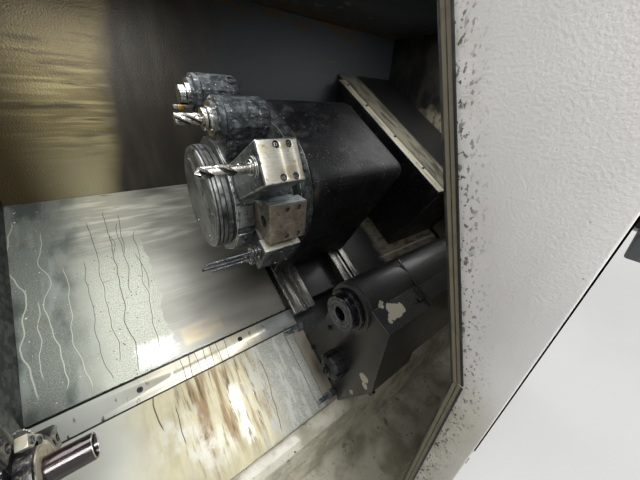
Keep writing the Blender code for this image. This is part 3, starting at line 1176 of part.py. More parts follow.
lamp_glass = material("lamp_glass", (0.70, 0.70, 0.68), 0.3, 0.0)
red_plastic = material("red_plastic", (0.60, 0.02, 0.02), 0.4, 0.0)
green_plastic = material("green_plastic", (0.02, 0.35, 0.08), 0.4, 0.0)
black_plastic = material("black_plastic", (0.02, 0.02, 0.02), 0.5, 0.0)

make_bed()
make_feet()
make_ways()
make_headstock()
make_spindle()
make_chuck()
make_carriage()
make_strip()
make_turret()
make_static_blocks()
make_round_holders()
make_tailstock()
make_chamber()
make_pan()
make_guard()
make_door()
make_front()
make_end_covers()
make_cabinet()
make_panel()
make_tank()
make_lamps()
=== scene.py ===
"""The looks of a CNC turning lathe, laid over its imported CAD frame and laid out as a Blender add-on."""
import json
import math

import bmesh
import bpy
from bpy.props import FloatProperty, FloatVectorProperty, IntProperty, PointerProperty
from mathutils import Matrix, Vector

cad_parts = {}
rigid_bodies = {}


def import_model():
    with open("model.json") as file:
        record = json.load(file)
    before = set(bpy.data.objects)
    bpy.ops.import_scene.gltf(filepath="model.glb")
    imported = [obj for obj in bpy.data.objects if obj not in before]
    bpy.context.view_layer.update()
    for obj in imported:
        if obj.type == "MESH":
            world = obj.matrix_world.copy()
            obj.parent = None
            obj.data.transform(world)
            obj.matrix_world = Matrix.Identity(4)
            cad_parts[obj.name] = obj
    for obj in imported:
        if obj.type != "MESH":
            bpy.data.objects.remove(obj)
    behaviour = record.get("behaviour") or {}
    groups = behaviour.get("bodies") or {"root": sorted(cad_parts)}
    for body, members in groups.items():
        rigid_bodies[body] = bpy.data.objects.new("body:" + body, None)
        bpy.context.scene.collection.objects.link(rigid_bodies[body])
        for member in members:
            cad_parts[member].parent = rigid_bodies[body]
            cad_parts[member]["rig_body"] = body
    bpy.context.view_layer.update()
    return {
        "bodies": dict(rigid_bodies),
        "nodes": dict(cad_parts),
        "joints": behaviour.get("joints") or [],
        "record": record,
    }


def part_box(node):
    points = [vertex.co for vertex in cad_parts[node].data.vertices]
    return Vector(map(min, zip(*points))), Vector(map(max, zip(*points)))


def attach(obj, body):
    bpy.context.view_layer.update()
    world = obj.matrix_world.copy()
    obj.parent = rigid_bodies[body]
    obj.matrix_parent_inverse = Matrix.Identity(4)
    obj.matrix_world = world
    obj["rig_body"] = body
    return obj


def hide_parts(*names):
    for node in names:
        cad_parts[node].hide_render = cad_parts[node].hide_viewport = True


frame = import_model()

bl_info = {
    "name": "Turning lathe",
    "version": (1, 0, 0),
    "blender": (4, 5, 0),
    "location": "3D View > Sidebar > Lathe",
    "description": "Dresses the CAD frame of a slant-bed turning lathe",
    "category": "Object",
}

# The spindle axis meets the quill's face here; every size below is measured from this point.
TUBE_LOW, TUBE_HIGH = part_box("workpiece_tube")
ORIGIN = Vector((TUBE_HIGH.x + 0.403, (TUBE_LOW.y + TUBE_HIGH.y) / 2, (TUBE_LOW.z + TUBE_HIGH.z) / 2))
SLANT = math.radians(30)
UPRIGHT = Matrix.Translation(ORIGIN)
SLOPE = UPRIGHT @ Matrix.Rotation(SLANT, 4, "X")
TURRET = SLOPE @ Matrix.Translation((0, 0.362, 0))
ALONG_X = Matrix.Rotation(math.pi / 2, 4, "Y")
# Degrees of the tool stations round the turret, and metres from its axis out to the round holders' bores.
STATIONS = {"boring": 62.5, "live": 92.5, "drill": 122.5, "turning": 152.5, "gang": 182.5}
HOLDER_OUT = 0.205


def linear(code):
    """An sRGB hex colour as linear red, green, blue and alpha."""
    parts = [int(code[i:i + 2], 16) / 255 for i in (1, 3, 5)]
    return tuple(c / 12.92 if c <= 0.04045 else ((c + 0.055) / 1.055) ** 2.4 for c in parts) + (1.0,)


def colour(name, description, code):
    return FloatVectorProperty(name=name, description=description, subtype="COLOR", size=4, min=0, max=1,
        default=linear(code))


def length(name, description, metres):
    return FloatProperty(name=name, description=description, subtype="DISTANCE", unit="LENGTH", min=0, precision=5,
        default=metres)


class LatheSizes(bpy.types.PropertyGroup):
    edge: length("Broken edge", "Width of the broken edges of machined steel", 0.0008)
    sheet_edge: length("Sheet edge", "Width of the rounded edges of folded sheet", 0.0012)
    cover_radius: length("Cover corner", "Rounding of the enclosure's outer corners", 0.006)
    ring_pitch: length("Ring pitch", "Distance between the turned rings on the turret's cap", 0.004)
    seal_width: length("Seal width", "Width of the wiper seal on the door's end", 0.013)
    round_steps: IntProperty(name="Round steps", description="Steps round a turned piece", default=56, min=12, max=128)


class LatheColours(bpy.types.PropertyGroup):
    stainless: colour("Stainless", "Way cover sheet, dry", "#85857c")
    wet_film: colour("Dried film", "Grey-blue film that coolant leaves on the sheet", "#70776f")
    dried_white: colour("Dried coolant", "Pale speckled crust of dried coolant", "#b4b7a9")
    # Yellow-brown of the lower sheet: partly oil stain, partly painted reflection.
    golden_stain_and_reflection: colour("Golden stain and reflection", "Yellow-brown oil stain and painted reflection", "#c1bb9b")
    bronze: colour("Bronze stain", "Olive-brown stain of the back wall", "#7b6f4c")
    cream: colour("Cream enamel", "Enamel of the pan and inner walls", "#d0ccba")
    door_white: colour("Door paint", "Pale grey paint of the door's end", "#d2d0cd")
    shell_white: colour("Cover paint", "Off-white paint of the covers", "#cfcec8")
    shell_grey: colour("Trim paint", "Dark grey paint of the trim", "#4a4d50")
    glossy_black: colour("Black enamel", "Glossy black enamel of the castings", "#1b1b1b")
    black_oxide: colour("Black oxide", "Blackened steel of the turret", "#393d3f")
    bright_block: colour("Milled steel", "Bright milled tool block", "#bdbcb1")
    scale: colour("Mill scale", "Red-black skin of the workpiece tube", "#1d1416")
    rubber: colour("Rubber", "Black nitrile rubber", "#101010")
    gold_nitride: colour("Gold coating", "Titanium nitride on an insert", "#b08d3a")


def shade(name):
    return tuple(getattr(bpy.context.scene.lathe_colours, name))


def sizes():
    return bpy.context.scene.lathe_sizes


# ---------------------------------------------------------------- finishes

SMOOTH = {"interpolation_type": "SMOOTHSTEP"}


class Finish:
    """One material's nodes. x, s and n are a point's places along the bed, up the slope and out of it, in metres."""

    def __init__(self, name, turn=0.0, centre=ORIGIN):
        self.material = bpy.data.materials.new(name)
        self.material.use_nodes = True
        self.tree = self.material.node_tree
        self.tree.nodes.clear()
        seen = self.put("TexCoord", {}, {})["Object"]
        self.place = self.put("Mapping", {"vector_type": "TEXTURE"}, {0: seen, 1: tuple(centre), 2: (turn, 0, 0)})[0]
        self.x, self.s, self.n = self.put("SeparateXYZ", {}, {0: self.place})[:3]

    def put(self, kind, settings, links):
        """Adds one node with its settings and links, and gives its outputs."""
        node = self.tree.nodes.new("ShaderNode" + kind)
        for name, value in settings.items():
            setattr(node, name, value)
        for key, value in links.items():
            if isinstance(value, bpy.types.NodeSocket):
                self.tree.links.new(value, node.inputs[key])
            else:
                node.inputs[key].default_value = value
        return node.outputs

    def grain(self, size, low, high, stretch=(1, 1, 1), detail=3.0, seed=0.0):
        """A patchy share: cells of `size` metres, longer along a direction with a larger stretch."""
        moved = self.put("Mapping", {}, {0: self.place, 1: (seed, seed * 1.7, seed * 2.3),
            3: [1 / size / k for k in stretch]})[0]
        noise = self.put("TexNoise", {}, {"Vector": moved, "Scale": 1.0, "Detail": detail, "Roughness": 0.55})[0]
        return self.put("MapRange", SMOOTH, {0: noise, 1: low, 2: high})[0]

    def specks(self, spacing, size, share, seed=0.0):
        """Separate spots: one in each cell of `spacing` metres, kept for a share of the cells."""
        moved = self.put("Mapping", {}, {0: self.place, 1: (seed, seed * 1.7, seed * 2.3), 3: [1 / spacing] * 3})[0]
        cells = self.put("TexVoronoi", {}, {"Vector": moved, "Scale": 1.0})
        spot = self.put("MapRange", {}, {0: cells["Distance"], 1: size / spacing, 2: size / spacing * 0.6})[0]
        pick = self.put("SeparateXYZ", {}, {0: cells["Color"]})[0]
        kept = self.put("Math", {"operation": "LESS_THAN"}, {0: pick, 1: share})[0]
        return self.put("Math", {"operation": "MULTIPLY"}, {0: spot, 1: kept})[0]

    def within(self, value, low, high, soft):
        """1 where the value lies between low and high, fading over `soft`."""
        up = self.put("MapRange", SMOOTH, {0: value, 1: low - soft, 2: low + soft})[0]
        down = self.put("MapRange", SMOOTH, {0: value, 1: high + soft, 2: high - soft})[0]
        return self.put("Math", {"operation": "MULTIPLY"}, {0: up, 1: down})[0]

    def both(self, *shares):
        """The product of shares."""
        whole = shares[0]
        for share in shares[1:]:
            whole = self.put("Math", {"operation": "MULTIPLY"}, {0: whole, 1: share})[0]
        return whole

    def either(self, *shares):
        """The largest of shares."""
        whole = shares[0]
        for share in shares[1:]:
            whole = self.put("Math", {"operation": "MAXIMUM"}, {0: whole, 1: share})[0]
        return whole

    def swayed(self, value, size, amount, seed=0.0):
        """A place pushed to and fro by up to `amount`, so that an outline is ragged."""
        moved = self.put("Mapping", {}, {0: self.place, 1: (seed, seed * 1.3, seed * 0.7), 3: [1 / size] * 3})[0]
        noise = self.put("TexNoise", {}, {"Vector": moved, "Scale": 1.0, "Detail": 3.0})[0]
        push = self.put("MapRange", {"clamp": False}, {0: noise, 1: 0.0, 2: 1.0, 3: -amount, 4: amount})[0]
        return self.put("Math", {"operation": "ADD"}, {0: value, 1: push})[0]

    def patch(self, x, s, soft=0.008, ragged=0.012, seed=0.0):
        """A stain between x[0], x[1] and s[0], s[1], with a soft, ragged outline."""
        across = self.within(self.swayed(self.x, 0.05, ragged, seed), x[0], x[1], soft)
        up = self.within(self.swayed(self.s, 0.05, ragged, seed + 3), s[0], s[1], soft)
        return self.both(across, up)

    def run(self, x, top, foot, lean=0.0, width=0.0022, sway=0.022, seed=0.0):
        """A run of liquid down the slope from s = top to s = foot, wandering about x and leaning along x."""
        down = self.put("Math", {"operation": "ADD"}, {0: self.s, 1: seed})[0]
        bend = self.put("TexNoise", {"noise_dimensions": "1D"}, {"W": down, "Scale": 8.0, "Detail": 2.0,
            "Roughness": 0.4})[0]
        bend = self.put("MapRange", {"clamp": False}, {0: bend, 1: 0.0, 2: 1.0, 3: x - sway, 4: x + sway})[0]
        slide = self.put("MapRange", {"clamp": False}, {0: self.s, 1: foot, 2: top, 3: 0.0, 4: lean})[0]
        line = self.put("Math", {"operation": "ADD"}, {0: bend, 1: slide})[0]
        away = self.put("Math", {"operation": "SUBTRACT"}, {0: self.x, 1: line})[0]
        away = self.put("Math", {"operation": "ABSOLUTE"}, {0: away})[0]
        thread = self.put("MapRange", SMOOTH, {0: away, 1: width, 2: width * 0.3})[0]
        return self.both(thread, self.within(self.s, foot, top, 0.008))

    def blob(self, centre, radius, ragged=0.8, seed=0.0):
        """A chip or splash about a point (x, s, n), with a wandering outline."""
        away = self.put("VectorMath", {"operation": "DISTANCE"}, {0: self.place, 1: centre})["Value"]
        away = self.swayed(away, radius * 1.1, radius * ragged, seed)
        return self.put("MapRange", {}, {0: away, 1: radius, 2: radius - 0.0008})[0]

    def layers(self, base, *over):
        """Colours, or single numbers, laid one over the other, each where its share is. A hex colour may be given."""
        number = isinstance(over[0][0], (int, float))
        base = linear(base) if isinstance(base, str) else base
        for value, share in over:
            value = linear(value) if isinstance(value, str) else value
            links = {0: share, 2: base, 3: value} if number else {0: share, 6: base, 7: value}
            base = self.put("Mix", {"data_type": "FLOAT" if number else "RGBA"}, links)[0 if number else 2]
        return base

    def surface(self, base, roughness, metallic=0.0, height=None, depth=0.0002, **more):
        """The last nodes: a principled surface, bumped by `height` up to `depth` metres."""
        links = {"Base Color": base, "Roughness": roughness, "Metallic": metallic}
        links.update({key.replace("_", " "): value for key, value in more.items()})
        if height is not None:
            links["Normal"] = self.put("Bump", {}, {"Strength": 1.0, "Distance": depth, "Height": height})[0]
        shader = self.put("BsdfPrincipled", {}, links)[0]
        self.put("OutputMaterial", {}, {"Surface": shader})
        return self.material


MADE = {}


def finish(name):
    """The material of that name, made once."""
    if name not in MADE:
        MADE[name] = FINISHES[name]()
    return MADE[name]


def stained_upper_sheet():
    # Brushed stainless sheet under coolant: grey-blue film at the left, a pale speckled crust with dark
    # runs in the middle, and a clean steel with wiper lines along X at the right, darker and patchy towards the turret.
    f = Finish("Stained stainless upper cover", SLANT)
    brushed = f.grain(0.0015, 0.3, 0.7, (60, 1, 1))
    lines = f.grain(0.005, 0.50, 0.66, (50, 1, 1), 4, 1.0)
    high = f.put("MapRange", SMOOTH, {0: f.swayed(f.s, 0.1, 0.03, 4), 1: 0.42, 2: 0.58})[0]
    film = f.put("MapRange", SMOOTH, {0: f.swayed(f.x, 0.12, 0.04), 1: -0.39, 2: -0.50})[0]
    crust_left = f.put("MapRange", SMOOTH, {0: f.swayed(f.x, 0.08, 0.04, 1), 1: -0.50, 2: -0.38})[0]
    crust_right = f.put("MapRange", SMOOTH, {0: f.swayed(f.x, 0.06, 0.022, 2), 1: -0.286, 2: -0.291})[0]
    crust_top = f.put("MapRange", SMOOTH, {0: f.swayed(f.s, 0.07, 0.05, 5), 1: 0.54, 2: 0.46})[0]
    crust = f.both(crust_left, crust_right, crust_top)
    fine = f.grain(0.0024, 0.46, 0.62, (1, 1, 1), 2, 3.0)
    pits = f.specks(0.010, 0.0022, 0.35)
    white = f.either(f.specks(0.035, 0.0032, 0.5, 2.0), f.specks(0.014, 0.0015, 0.35, 4.0),
        f.specks(0.008, 0.0009, 0.3, 7.0))
    pale_runs = f.either(f.run(-0.545, 0.63, 0.165, -0.02, 0.0020, 0.020, 1.3),
        f.run(-0.503, 0.58, 0.16, -0.005, 0.0013, 0.024, 4.1), f.run(-0.528, 0.38, 0.20, 0.0, 0.0012, 0.016, 7.7),
        f.run(-0.470, 0.46, 0.14, 0.0, 0.0009, 0.018, 9.9))
    dark_runs = f.either(f.run(-0.402, 0.59, 0.17, 0.0, 0.0011, 0.016, 2.2),
        f.run(-0.374, 0.53, 0.135, 0.012, 0.0013, 0.018, 5.4), f.run(-0.322, 0.53, 0.165, 0.02, 0.0012, 0.018, 9.1),
        f.run(-0.347, 0.57, 0.34, 0.01, 0.0010, 0.018, 12.5), f.run(-0.43, 0.46, 0.14, 0.0, 0.0009, 0.018, 15.2),
        f.run(-0.305, 0.45, 0.33, 0.0, 0.0010, 0.018, 18.6), f.run(-0.36, 0.62, 0.47, 0.0, 0.0010, 0.02, 21.6),
        f.run(-0.335, 0.60, 0.46, 0.0, 0.0010, 0.02, 24.6))
    halo = f.either(f.run(-0.402, 0.59, 0.17, 0.0, 0.0034, 0.016, 2.2),
        f.run(-0.322, 0.53, 0.165, 0.02, 0.0034, 0.018, 9.1))
    tan = f.patch((-0.268, -0.168), (0.14, 0.187), 0.006, 0.004, 8)
    blue = f.patch((-0.372, -0.292), (0.132, 0.186), 0.008, 0.018, 9)
    # Darker, patchy steel at the right, towards the turret.
    darker_right_steel = f.within(f.swayed(f.x, 0.12, 0.03, 6), -0.27, 0.1, 0.06)
    wiped = f.both(f.grain(0.014, 0.46, 0.62, (9, 1, 1), 3, 12.0), high)
    base = f.layers(shade("stainless"), ("#8d8e86", f.both(lines, f.grain(0.08, 0.42, 0.6, (2, 1, 1), 2, 8.0))),
        ("#b4b5a9", high), ("#d6d7ca", wiped), (shade("wet_film"), film),
        ("#8d9490", f.both(film, f.grain(0.03, 0.5, 0.66, (1, 5, 1), 4, 2.0))), ("#8a9087", f.both(film, fine)),
        ("#535a56", f.both(film, f.grain(0.05, 0.46, 0.66, (1, 2, 1), 4, 12.0))), (shade("dried_white"), crust),
        ("#8f9288", f.both(crust, fine)), ("#5d5f57", f.both(crust, pits)), ("#a89c80", tan),
        ("#d3dcde", f.both(blue, f.grain(0.01, 0.4, 0.6))), ("#6b6963",
        f.both(darker_right_steel, f.grain(0.06, 0.2, 0.75, (3, 1, 1), 2, 11.0))),
        ("#dfe5e0", f.both(white, f.either(film, crust))), ("#b3b6a6", f.both(halo, crust)), ("#b9bcab", pale_runs),
        ("#4c4a40", dark_runs), ("#857a60", f.grain(0.012, 0.66, 0.8, (8, 1, 1), 2, 9.0)))
    rough = f.layers(0.36, (0.46, film), (0.54, crust), (0.40, high), (0.34, blue))
    height = f.layers(0.5, (0.62, brushed), (0.8, f.both(crust, fine)), (0.2, dark_runs), (1.0, white))
    return f.surface(base, rough, 0.4, height, 0.0003)


def stained_and_reflecting_lower_sheet():
    # The same sheet in the splash of the tools: a golden tone with streaks up the slope, brown and sooty in the middle,
    # all partly oil stain and partly painted reflections, with pale wet flecks that are partly painted highlights, thin
    # dribbles and a grainy grey end.
    f = Finish("Stained stainless lower cover", SLANT)
    # The golden tone and the streak, brown and soot layers below are partly oil stain and partly painted reflections.
    gold = f.within(f.swayed(f.x, 0.08, 0.03), -0.9, -0.13, 0.05)
    streak_stain_and_reflection = f.grain(0.009, 0.44, 0.66, (1, 14, 1), 4, 1.0)
    middle = f.both(f.within(f.swayed(f.x, 0.05, 0.02, 2), -0.32, -0.12, 0.04),
        f.within(f.swayed(f.s, 0.05, 0.02, 2), -0.14, 0.08, 0.06))
    brown = f.both(f.grain(0.014, 0.42, 0.62, (1, 9, 1), 3, 4.0), middle)
    soot_and_reflection = f.both(f.grain(0.007, 0.56, 0.68, (1, 10, 1), 3, 14.0), middle)
    fleck = f.grain(0.018, 0.34, 0.66, (1, 2, 1), 5, 13.0)
    # Pale flecks of coolant that also serve as painted highlights; the narrow third patch is a painted streak of
    # reflected light.
    wet_and_highlight = f.either(f.both(fleck, f.either(f.patch((-0.385, -0.29), (-0.07, 0.0), 0.012, 0.03, 1),
        f.patch((-0.33, -0.25), (-0.14, -0.05), 0.014, 0.03, 2))), f.both(f.grain(0.006, 0.42, 0.5, (1, 6, 1), 3, 8.0),
        f.patch((-0.218, -0.188), (-0.135, 0.005), 0.005, 0.012, 3)))
    grainy = f.both(f.within(f.swayed(f.x, 0.05, 0.02, 7), -0.15, 0.1, 0.03),
        f.grain(0.0026, 0.42, 0.6, (1, 1, 1), 2, 7.0))
    frost = f.both(f.within(f.swayed(f.x, 0.06, 0.03, 5), -0.20, 0.0, 0.04),
        f.grain(0.012, 0.5, 0.66, (1, 4, 1), 4, 5.0))
    dribble = f.either(f.run(-0.36, 0.07, -0.01, 0.0, 0.0020, 0.015, 1.0),
        f.run(-0.325, 0.02, -0.06, 0.0, 0.0014, 0.02, 3.0), f.run(-0.13, 0.02, -0.15, 0.02, 0.0014, 0.02, 6.0))
    base = f.layers("#83847c", (shade("golden_stain_and_reflection"), gold), ("#bdb69c", f.both(streak_stain_and_reflection, gold)),
        ("#b1a98b", f.both(f.grain(0.03, 0.42, 0.62, (1, 3, 1), 4, 9.0), gold)),
        ("#c9cabf", f.within(f.swayed(f.x, 0.06, 0.03, 9), -0.9, -0.405, 0.05)), ("#86704b", brown),
        ("#5b4d33", soot_and_reflection), ("#9da098", grainy), ("#a7a9a1", frost), ("#c9c7bb", wet_and_highlight),
        ("#8d8778", f.within(f.x, 0.0005, 0.1, 0.0004)), ("#4f432c", dribble), ("#e2e2d8", f.specks(0.02, 0.0015, 0.3)))
    rough = f.layers(0.44, (0.5, f.both(streak_stain_and_reflection, gold)), (0.36, wet_and_highlight), (0.5, grainy))
    return f.surface(base, rough, 0.22, f.layers(0.4, (0.5, f.grain(0.0015, 0.3, 0.7, (60, 1, 1))), (0.8, grainy),
        (0.7, wet_and_highlight)), 0.0003)


def wiped_strip_steel():
    # A ground steel keeper strip: warm pale steel, wiped clean, with crazed runs of dried oil across it.
    f = Finish("Wiped ground steel strip", SLANT)
    cracks = f.either(*[f.run(-0.29 + 0.018 * i, 0.125, 0.058, 0.0, 0.0013, 0.01, 3.1 * i) for i in range(7)])
    rubbed = f.grain(0.022, 0.45, 0.72, (1, 5, 1), 4)
    edge = f.either(f.within(f.s, 0.115, 0.125, 0.0006), f.within(f.s, 0.055, 0.0645, 0.0005))
    base = f.layers("#b3af9e", ("#9a937e", rubbed), ("#d3d6cd", f.within(f.swayed(f.x, 0.05, 0.02), -0.9, -0.40,
        0.08)), ("#8b8f8e", f.within(f.x, -0.08, 0.2, 0.03)), ("#4a4335", cracks),
        ("#5b5440", f.grain(0.008, 0.62, 0.74, (1, 4, 1), 3, 5.0)), ("#1c1b17", edge))
    return f.surface(base, f.layers(0.33, (0.5, rubbed)), 0.45, f.grain(0.0015, 0.3, 0.7, (50, 1, 1)), 0.00006)


def varnished_back_wall():
    # Painted sheet varnished by years of oil mist: olive gold at the left, with tan bands rubbed along X,
    # turning grey-brown and then sooty black to the right.
    f = Finish("Oil-varnished back wall")
    slanted = f.put("MapRange", {"clamp": False}, {0: f.n, 1: 0.13, 2: 0.56, 3: 0.0, 4: -0.075})[0]
    across = f.put("Math", {"operation": "ADD"}, {0: f.swayed(f.x, 0.2, 0.03), 1: slanted})[0]
    gold = f.within(across, -3, -0.315, 0.04)
    dark = f.put("MapRange", SMOOTH, {0: f.swayed(f.x, 0.2, 0.06, 3), 1: -0.10, 2: 0.18})[0]
    bands = f.both(f.grain(0.013, 0.45, 0.62, (16, 1, 1), 4, 2.0), f.within(f.n, 0.19, 0.44, 0.06))
    cloud = f.grain(0.09, 0.35, 0.7, (1, 1, 1), 5, 4.0)
    smoky = f.grain(0.05, 0.4, 0.7, (1, 1, 5), 4, 7.0)
    rust = f.both(f.grain(0.02, 0.48, 0.64, (5, 1, 1), 4, 6.0), f.within(f.n, 0.60, 0.75, 0.03),
        f.within(f.x, 0.02, 0.7, 0.08))
    scuff = f.both(f.grain(0.03, 0.6, 0.72, (8, 1, 1), 4, 10.0), f.within(f.n, 0.35, 0.60, 0.08))
    base = f.layers("#2f2b24", ("#3f3b31", smoky), (shade("bronze"), gold), ("#8a7d55", f.both(gold, cloud)),
        ("#a89b70", f.both(gold, bands)), ("#564e39", f.both(f.grain(0.02, 0.48, 0.66, (10, 1, 1), 3, 9.0), gold)),
        ("#a89f7d", f.both(gold, f.within(f.n, -1, 0.22, 0.1))), ("#4a4029",
        f.both(gold, f.either(f.within(f.n, 0.50, 3, 0.12), f.within(f.x, -3, -0.445, 0.08)))), ("#44494c", dark),
        ("#5a5449", f.both(dark, scuff)), ("#5d452b", rust), ("#b7b29c", f.both(f.specks(0.02, 0.0012, 0.2), gold)))
    return f.surface(base, f.layers(0.42, (0.34, gold), (0.5, dark), (0.6, rust)), 0.3,
        f.layers(f.grain(0.004, 0.3, 0.7), (1.0, rust)), 0.0004)


def grimy_roof_lining():
    # The roof sheet seen from inside: blue-black oily soot with a smeared brown band along the back.
    f = Finish("Sooty roof lining")
    band = f.both(f.within(f.swayed(f.s, 0.06, 0.03, 2), 0.64, 0.80, 0.03), f.grain(0.05, 0.35, 0.6, (6, 1, 1), 4, 5.0))
    clots = f.both(f.within(f.s, 0.48, 0.76, 0.05), f.grain(0.018, 0.6, 0.7, (3, 1, 1), 4, 9.0))
    base = f.layers("#3b4044", ("#54585c", f.grain(0.12, 0.4, 0.7, (2, 1, 1), 5)), ("#6d5a42", band),
        ("#9c8c70", clots))
    return f.surface(base, f.layers(0.42, (0.6, band)), 0.1, f.layers(f.grain(0.004, 0.35, 0.7), (1.0, clots)), 0.0006)


def grimy_right_wall():
    # The chamber's right wall: cream enamel blackened by soot except where the coolant keeps it washed.
    f = Finish("Washed and sooty side wall")
    washed = f.both(f.within(f.swayed(f.s, 0.05, 0.04, 1), 0.34, 0.55, 0.02),
        f.within(f.swayed(f.n, 0.05, 0.05, 2), 0.05, 0.36, 0.03))
    low = f.put("MapRange", SMOOTH, {0: f.swayed(f.n, 0.1, 0.05, 3), 1: -0.05, 2: -0.25})[0]
    clean = f.either(washed, low)
    base = f.layers("#1c1c1d", ("#3a3833", f.grain(0.05, 0.42, 0.64, (1, 1, 2), 5)), ("#9b9580", clean),
                    ("#5c5545", f.both(clean, f.grain(0.02, 0.5, 0.66, (1, 1, 1), 4, 6.0))))
    return f.surface(base, 0.45, 0.0, f.grain(0.004, 0.35, 0.7), 0.0004)


def grimy_dark_wall(name="Grimy dark sheet", code="#24211d"):
    # Painted sheet hidden under black oily grime, with pale swarf stuck to it.
    f = Finish(name)
    base = f.layers(code, ("#12110f", f.grain(0.05, 0.4, 0.62, (1, 1, 1), 5)),
        ("#4a4437", f.grain(0.03, 0.62, 0.75, (3, 1, 1), 4, 3.0)), ("#b9b8b0",
        f.both(f.specks(0.012, 0.0012, 0.3, 1.0), f.grain(0.06, 0.5, 0.62, (1, 1, 1), 2, 8.0))))
    return f.surface(base, f.layers(0.4, (0.6, f.grain(0.02, 0.4, 0.6, (1, 1, 1), 4, 2.0))), 0.2,
        f.grain(0.004, 0.35, 0.7), 0.0005)


def dirty_cream_enamel():
    # Cream enamel in the coolant's way: a smooth pale skin with brown crumbs, runs and a dull film.
    f = Finish("Dirty cream enamel")
    film = f.grain(0.06, 0.38, 0.66, (1, 1, 1), 5)
    crumbs = f.either(f.specks(0.007, 0.0012, 0.28), f.specks(0.02, 0.0028, 0.22, 5.0))
    base = f.layers(shade("cream"), ("#a39e8b", film), ("#7b715a", f.grain(0.03, 0.6, 0.74, (1, 1, 1), 5, 3.0)),
                    ("#2d271c", crumbs), ("#c9c6b8", f.specks(0.015, 0.0014, 0.15, 8.0)))
    return f.surface(base, f.layers(0.35, (0.55, film)), 0.0, f.layers(f.grain(0.002, 0.3, 0.7), (1.0, crumbs)),
        0.0006, Coat_Weight=0.3)


def black_and_washed_right_sheet():
    # The sheet behind the tailstock: black where it lies under the slide, cream enamel where coolant washes it.
    f = Finish("Sooty and washed cover sheet", SLANT)
    washed = f.within(f.swayed(f.x, 0.08, 0.05), 0.52, 2.0, 0.03)
    stripe = f.both(washed, f.within(f.swayed(f.s, 0.05, 0.004), 0.150, 0.158, 0.001))
    base = f.layers("#191a1b", ("#a8a28f", washed), ("#6e6654", f.both(washed,
        f.grain(0.02, 0.46, 0.64, (2, 1, 1), 5))), ("#dedbd0", stripe), ("#c9c9c6", f.specks(0.012, 0.0012, 0.3)))
    return f.surface(base, 0.42, 0.1, f.grain(0.004, 0.3, 0.7), 0.0003)


def chipped_black_enamel():
    # Glossy black enamel on cast iron: mirror-like where wet, chipped to its cream primer by swarf.
    f = Finish("Chipped black enamel", SLANT)
    chips = f.either(f.blob((0.090, -0.050, 0.050), 0.018, 0.8, 1.0), f.blob((0.108, -0.053, 0.050), 0.012, 0.8, 2.0),
        f.blob((0.064, -0.064, 0.050), 0.007, 0.8, 3.0), f.blob((0.075, -0.058, 0.050), 0.010, 0.8, 7.0),
        f.blob((0.068, -0.028, 0.052), 0.008, 0.8, 4.0), f.blob((0.040, -0.142, -0.113), 0.013, 0.8, 5.0),
        f.blob((0.040, -0.158, -0.128), 0.009, 0.8, 8.0), f.blob((0.040, -0.164, -0.208), 0.008, 0.8, 6.0))
    dust = f.grain(0.03, 0.3, 0.8, (2, 1, 1), 6)
    swarf = f.either(f.specks(0.012, 0.001, 0.2, 6.0), f.both(f.specks(0.006, 0.0008, 0.3, 9.0),
        f.grain(0.05, 0.5, 0.62)))
    base = f.layers(shade("glossy_black"), ("#2e2e2e", dust), ("#4a463c",
        f.grain(0.008, 0.66, 0.74, (1, 1, 1), 4, 6.0)), ("#b9bbb8", swarf), ("#b3ae9b", chips))
    return f.surface(base, f.layers(0.30, (0.42, dust), (0.6, chips)), 0.0,
        f.layers(f.grain(0.003, 0.3, 0.7), (0.0, chips)), 0.0004, Coat_Weight=0.3, Coat_Roughness=0.2)


def guard_black_paint():
    # Black painted sheet spattered with swarf that glints.
    f = Finish("Swarf-spattered black paint", SLANT)
    near = f.grain(0.05, 0.45, 0.58, (1, 1, 1), 3, 2.0)
    swarf = f.either(f.both(f.specks(0.005, 0.0010, 0.45), near), f.specks(0.018, 0.0016, 0.4, 4.0))
    smear = f.grain(0.03, 0.58, 0.72, (1, 1, 3), 4, 6.0)
    base = f.layers("#141518", ("#1f2124", f.grain(0.08, 0.4, 0.65, (1, 1, 1), 5)), ("#403d38", smear),
        ("#c3c4c4", swarf))
    return f.surface(base, f.layers(0.36, (0.5, near)), 0.1, f.layers(f.grain(0.003, 0.3, 0.7), (1.0, swarf)), 0.0005)


def flange_cream_paint():
    # Cream paint along a folded flange: a pale strip, the black line of its lap, then a duller grey-tan
    # plate that runs off into soot.
    f = Finish("Worn cream flange", SLANT)
    strip = f.within(f.x, 0.5, 0.584, 0.0006)
    lap = f.within(f.x, 0.584, 0.5885, 0.0006)
    plate = f.within(f.swayed(f.x, 0.06, 0.006), 0.5885, 0.69, 0.012)
    groove = f.within(f.x, 0.5625, 0.5640, 0.0004)
    worn = f.grain(0.02, 0.45, 0.68, (1, 5, 1), 5)
    base = f.layers("#1c1c1d", ("#8b8675", plate), ("#4a463d", f.both(plate,
        f.grain(0.03, 0.44, 0.64, (1, 3, 1), 4, 2.0))), ("#c9c3ac", strip), ("#9b937d", f.both(strip, worn)),
        ("#c3beac", f.both(strip, f.grain(0.006, 0.62, 0.72, (1, 3, 1), 3, 7.0))),
        ("#2a2620", f.both(strip, f.grain(0.010, 0.64, 0.72, (1, 2, 1), 4, 3.0))), ("#191714", f.either(lap, groove)))
    return f.surface(base, 0.45, 0.1, f.layers(f.grain(0.004, 0.3, 0.7), (0.0, f.either(lap, groove))), 0.0005)


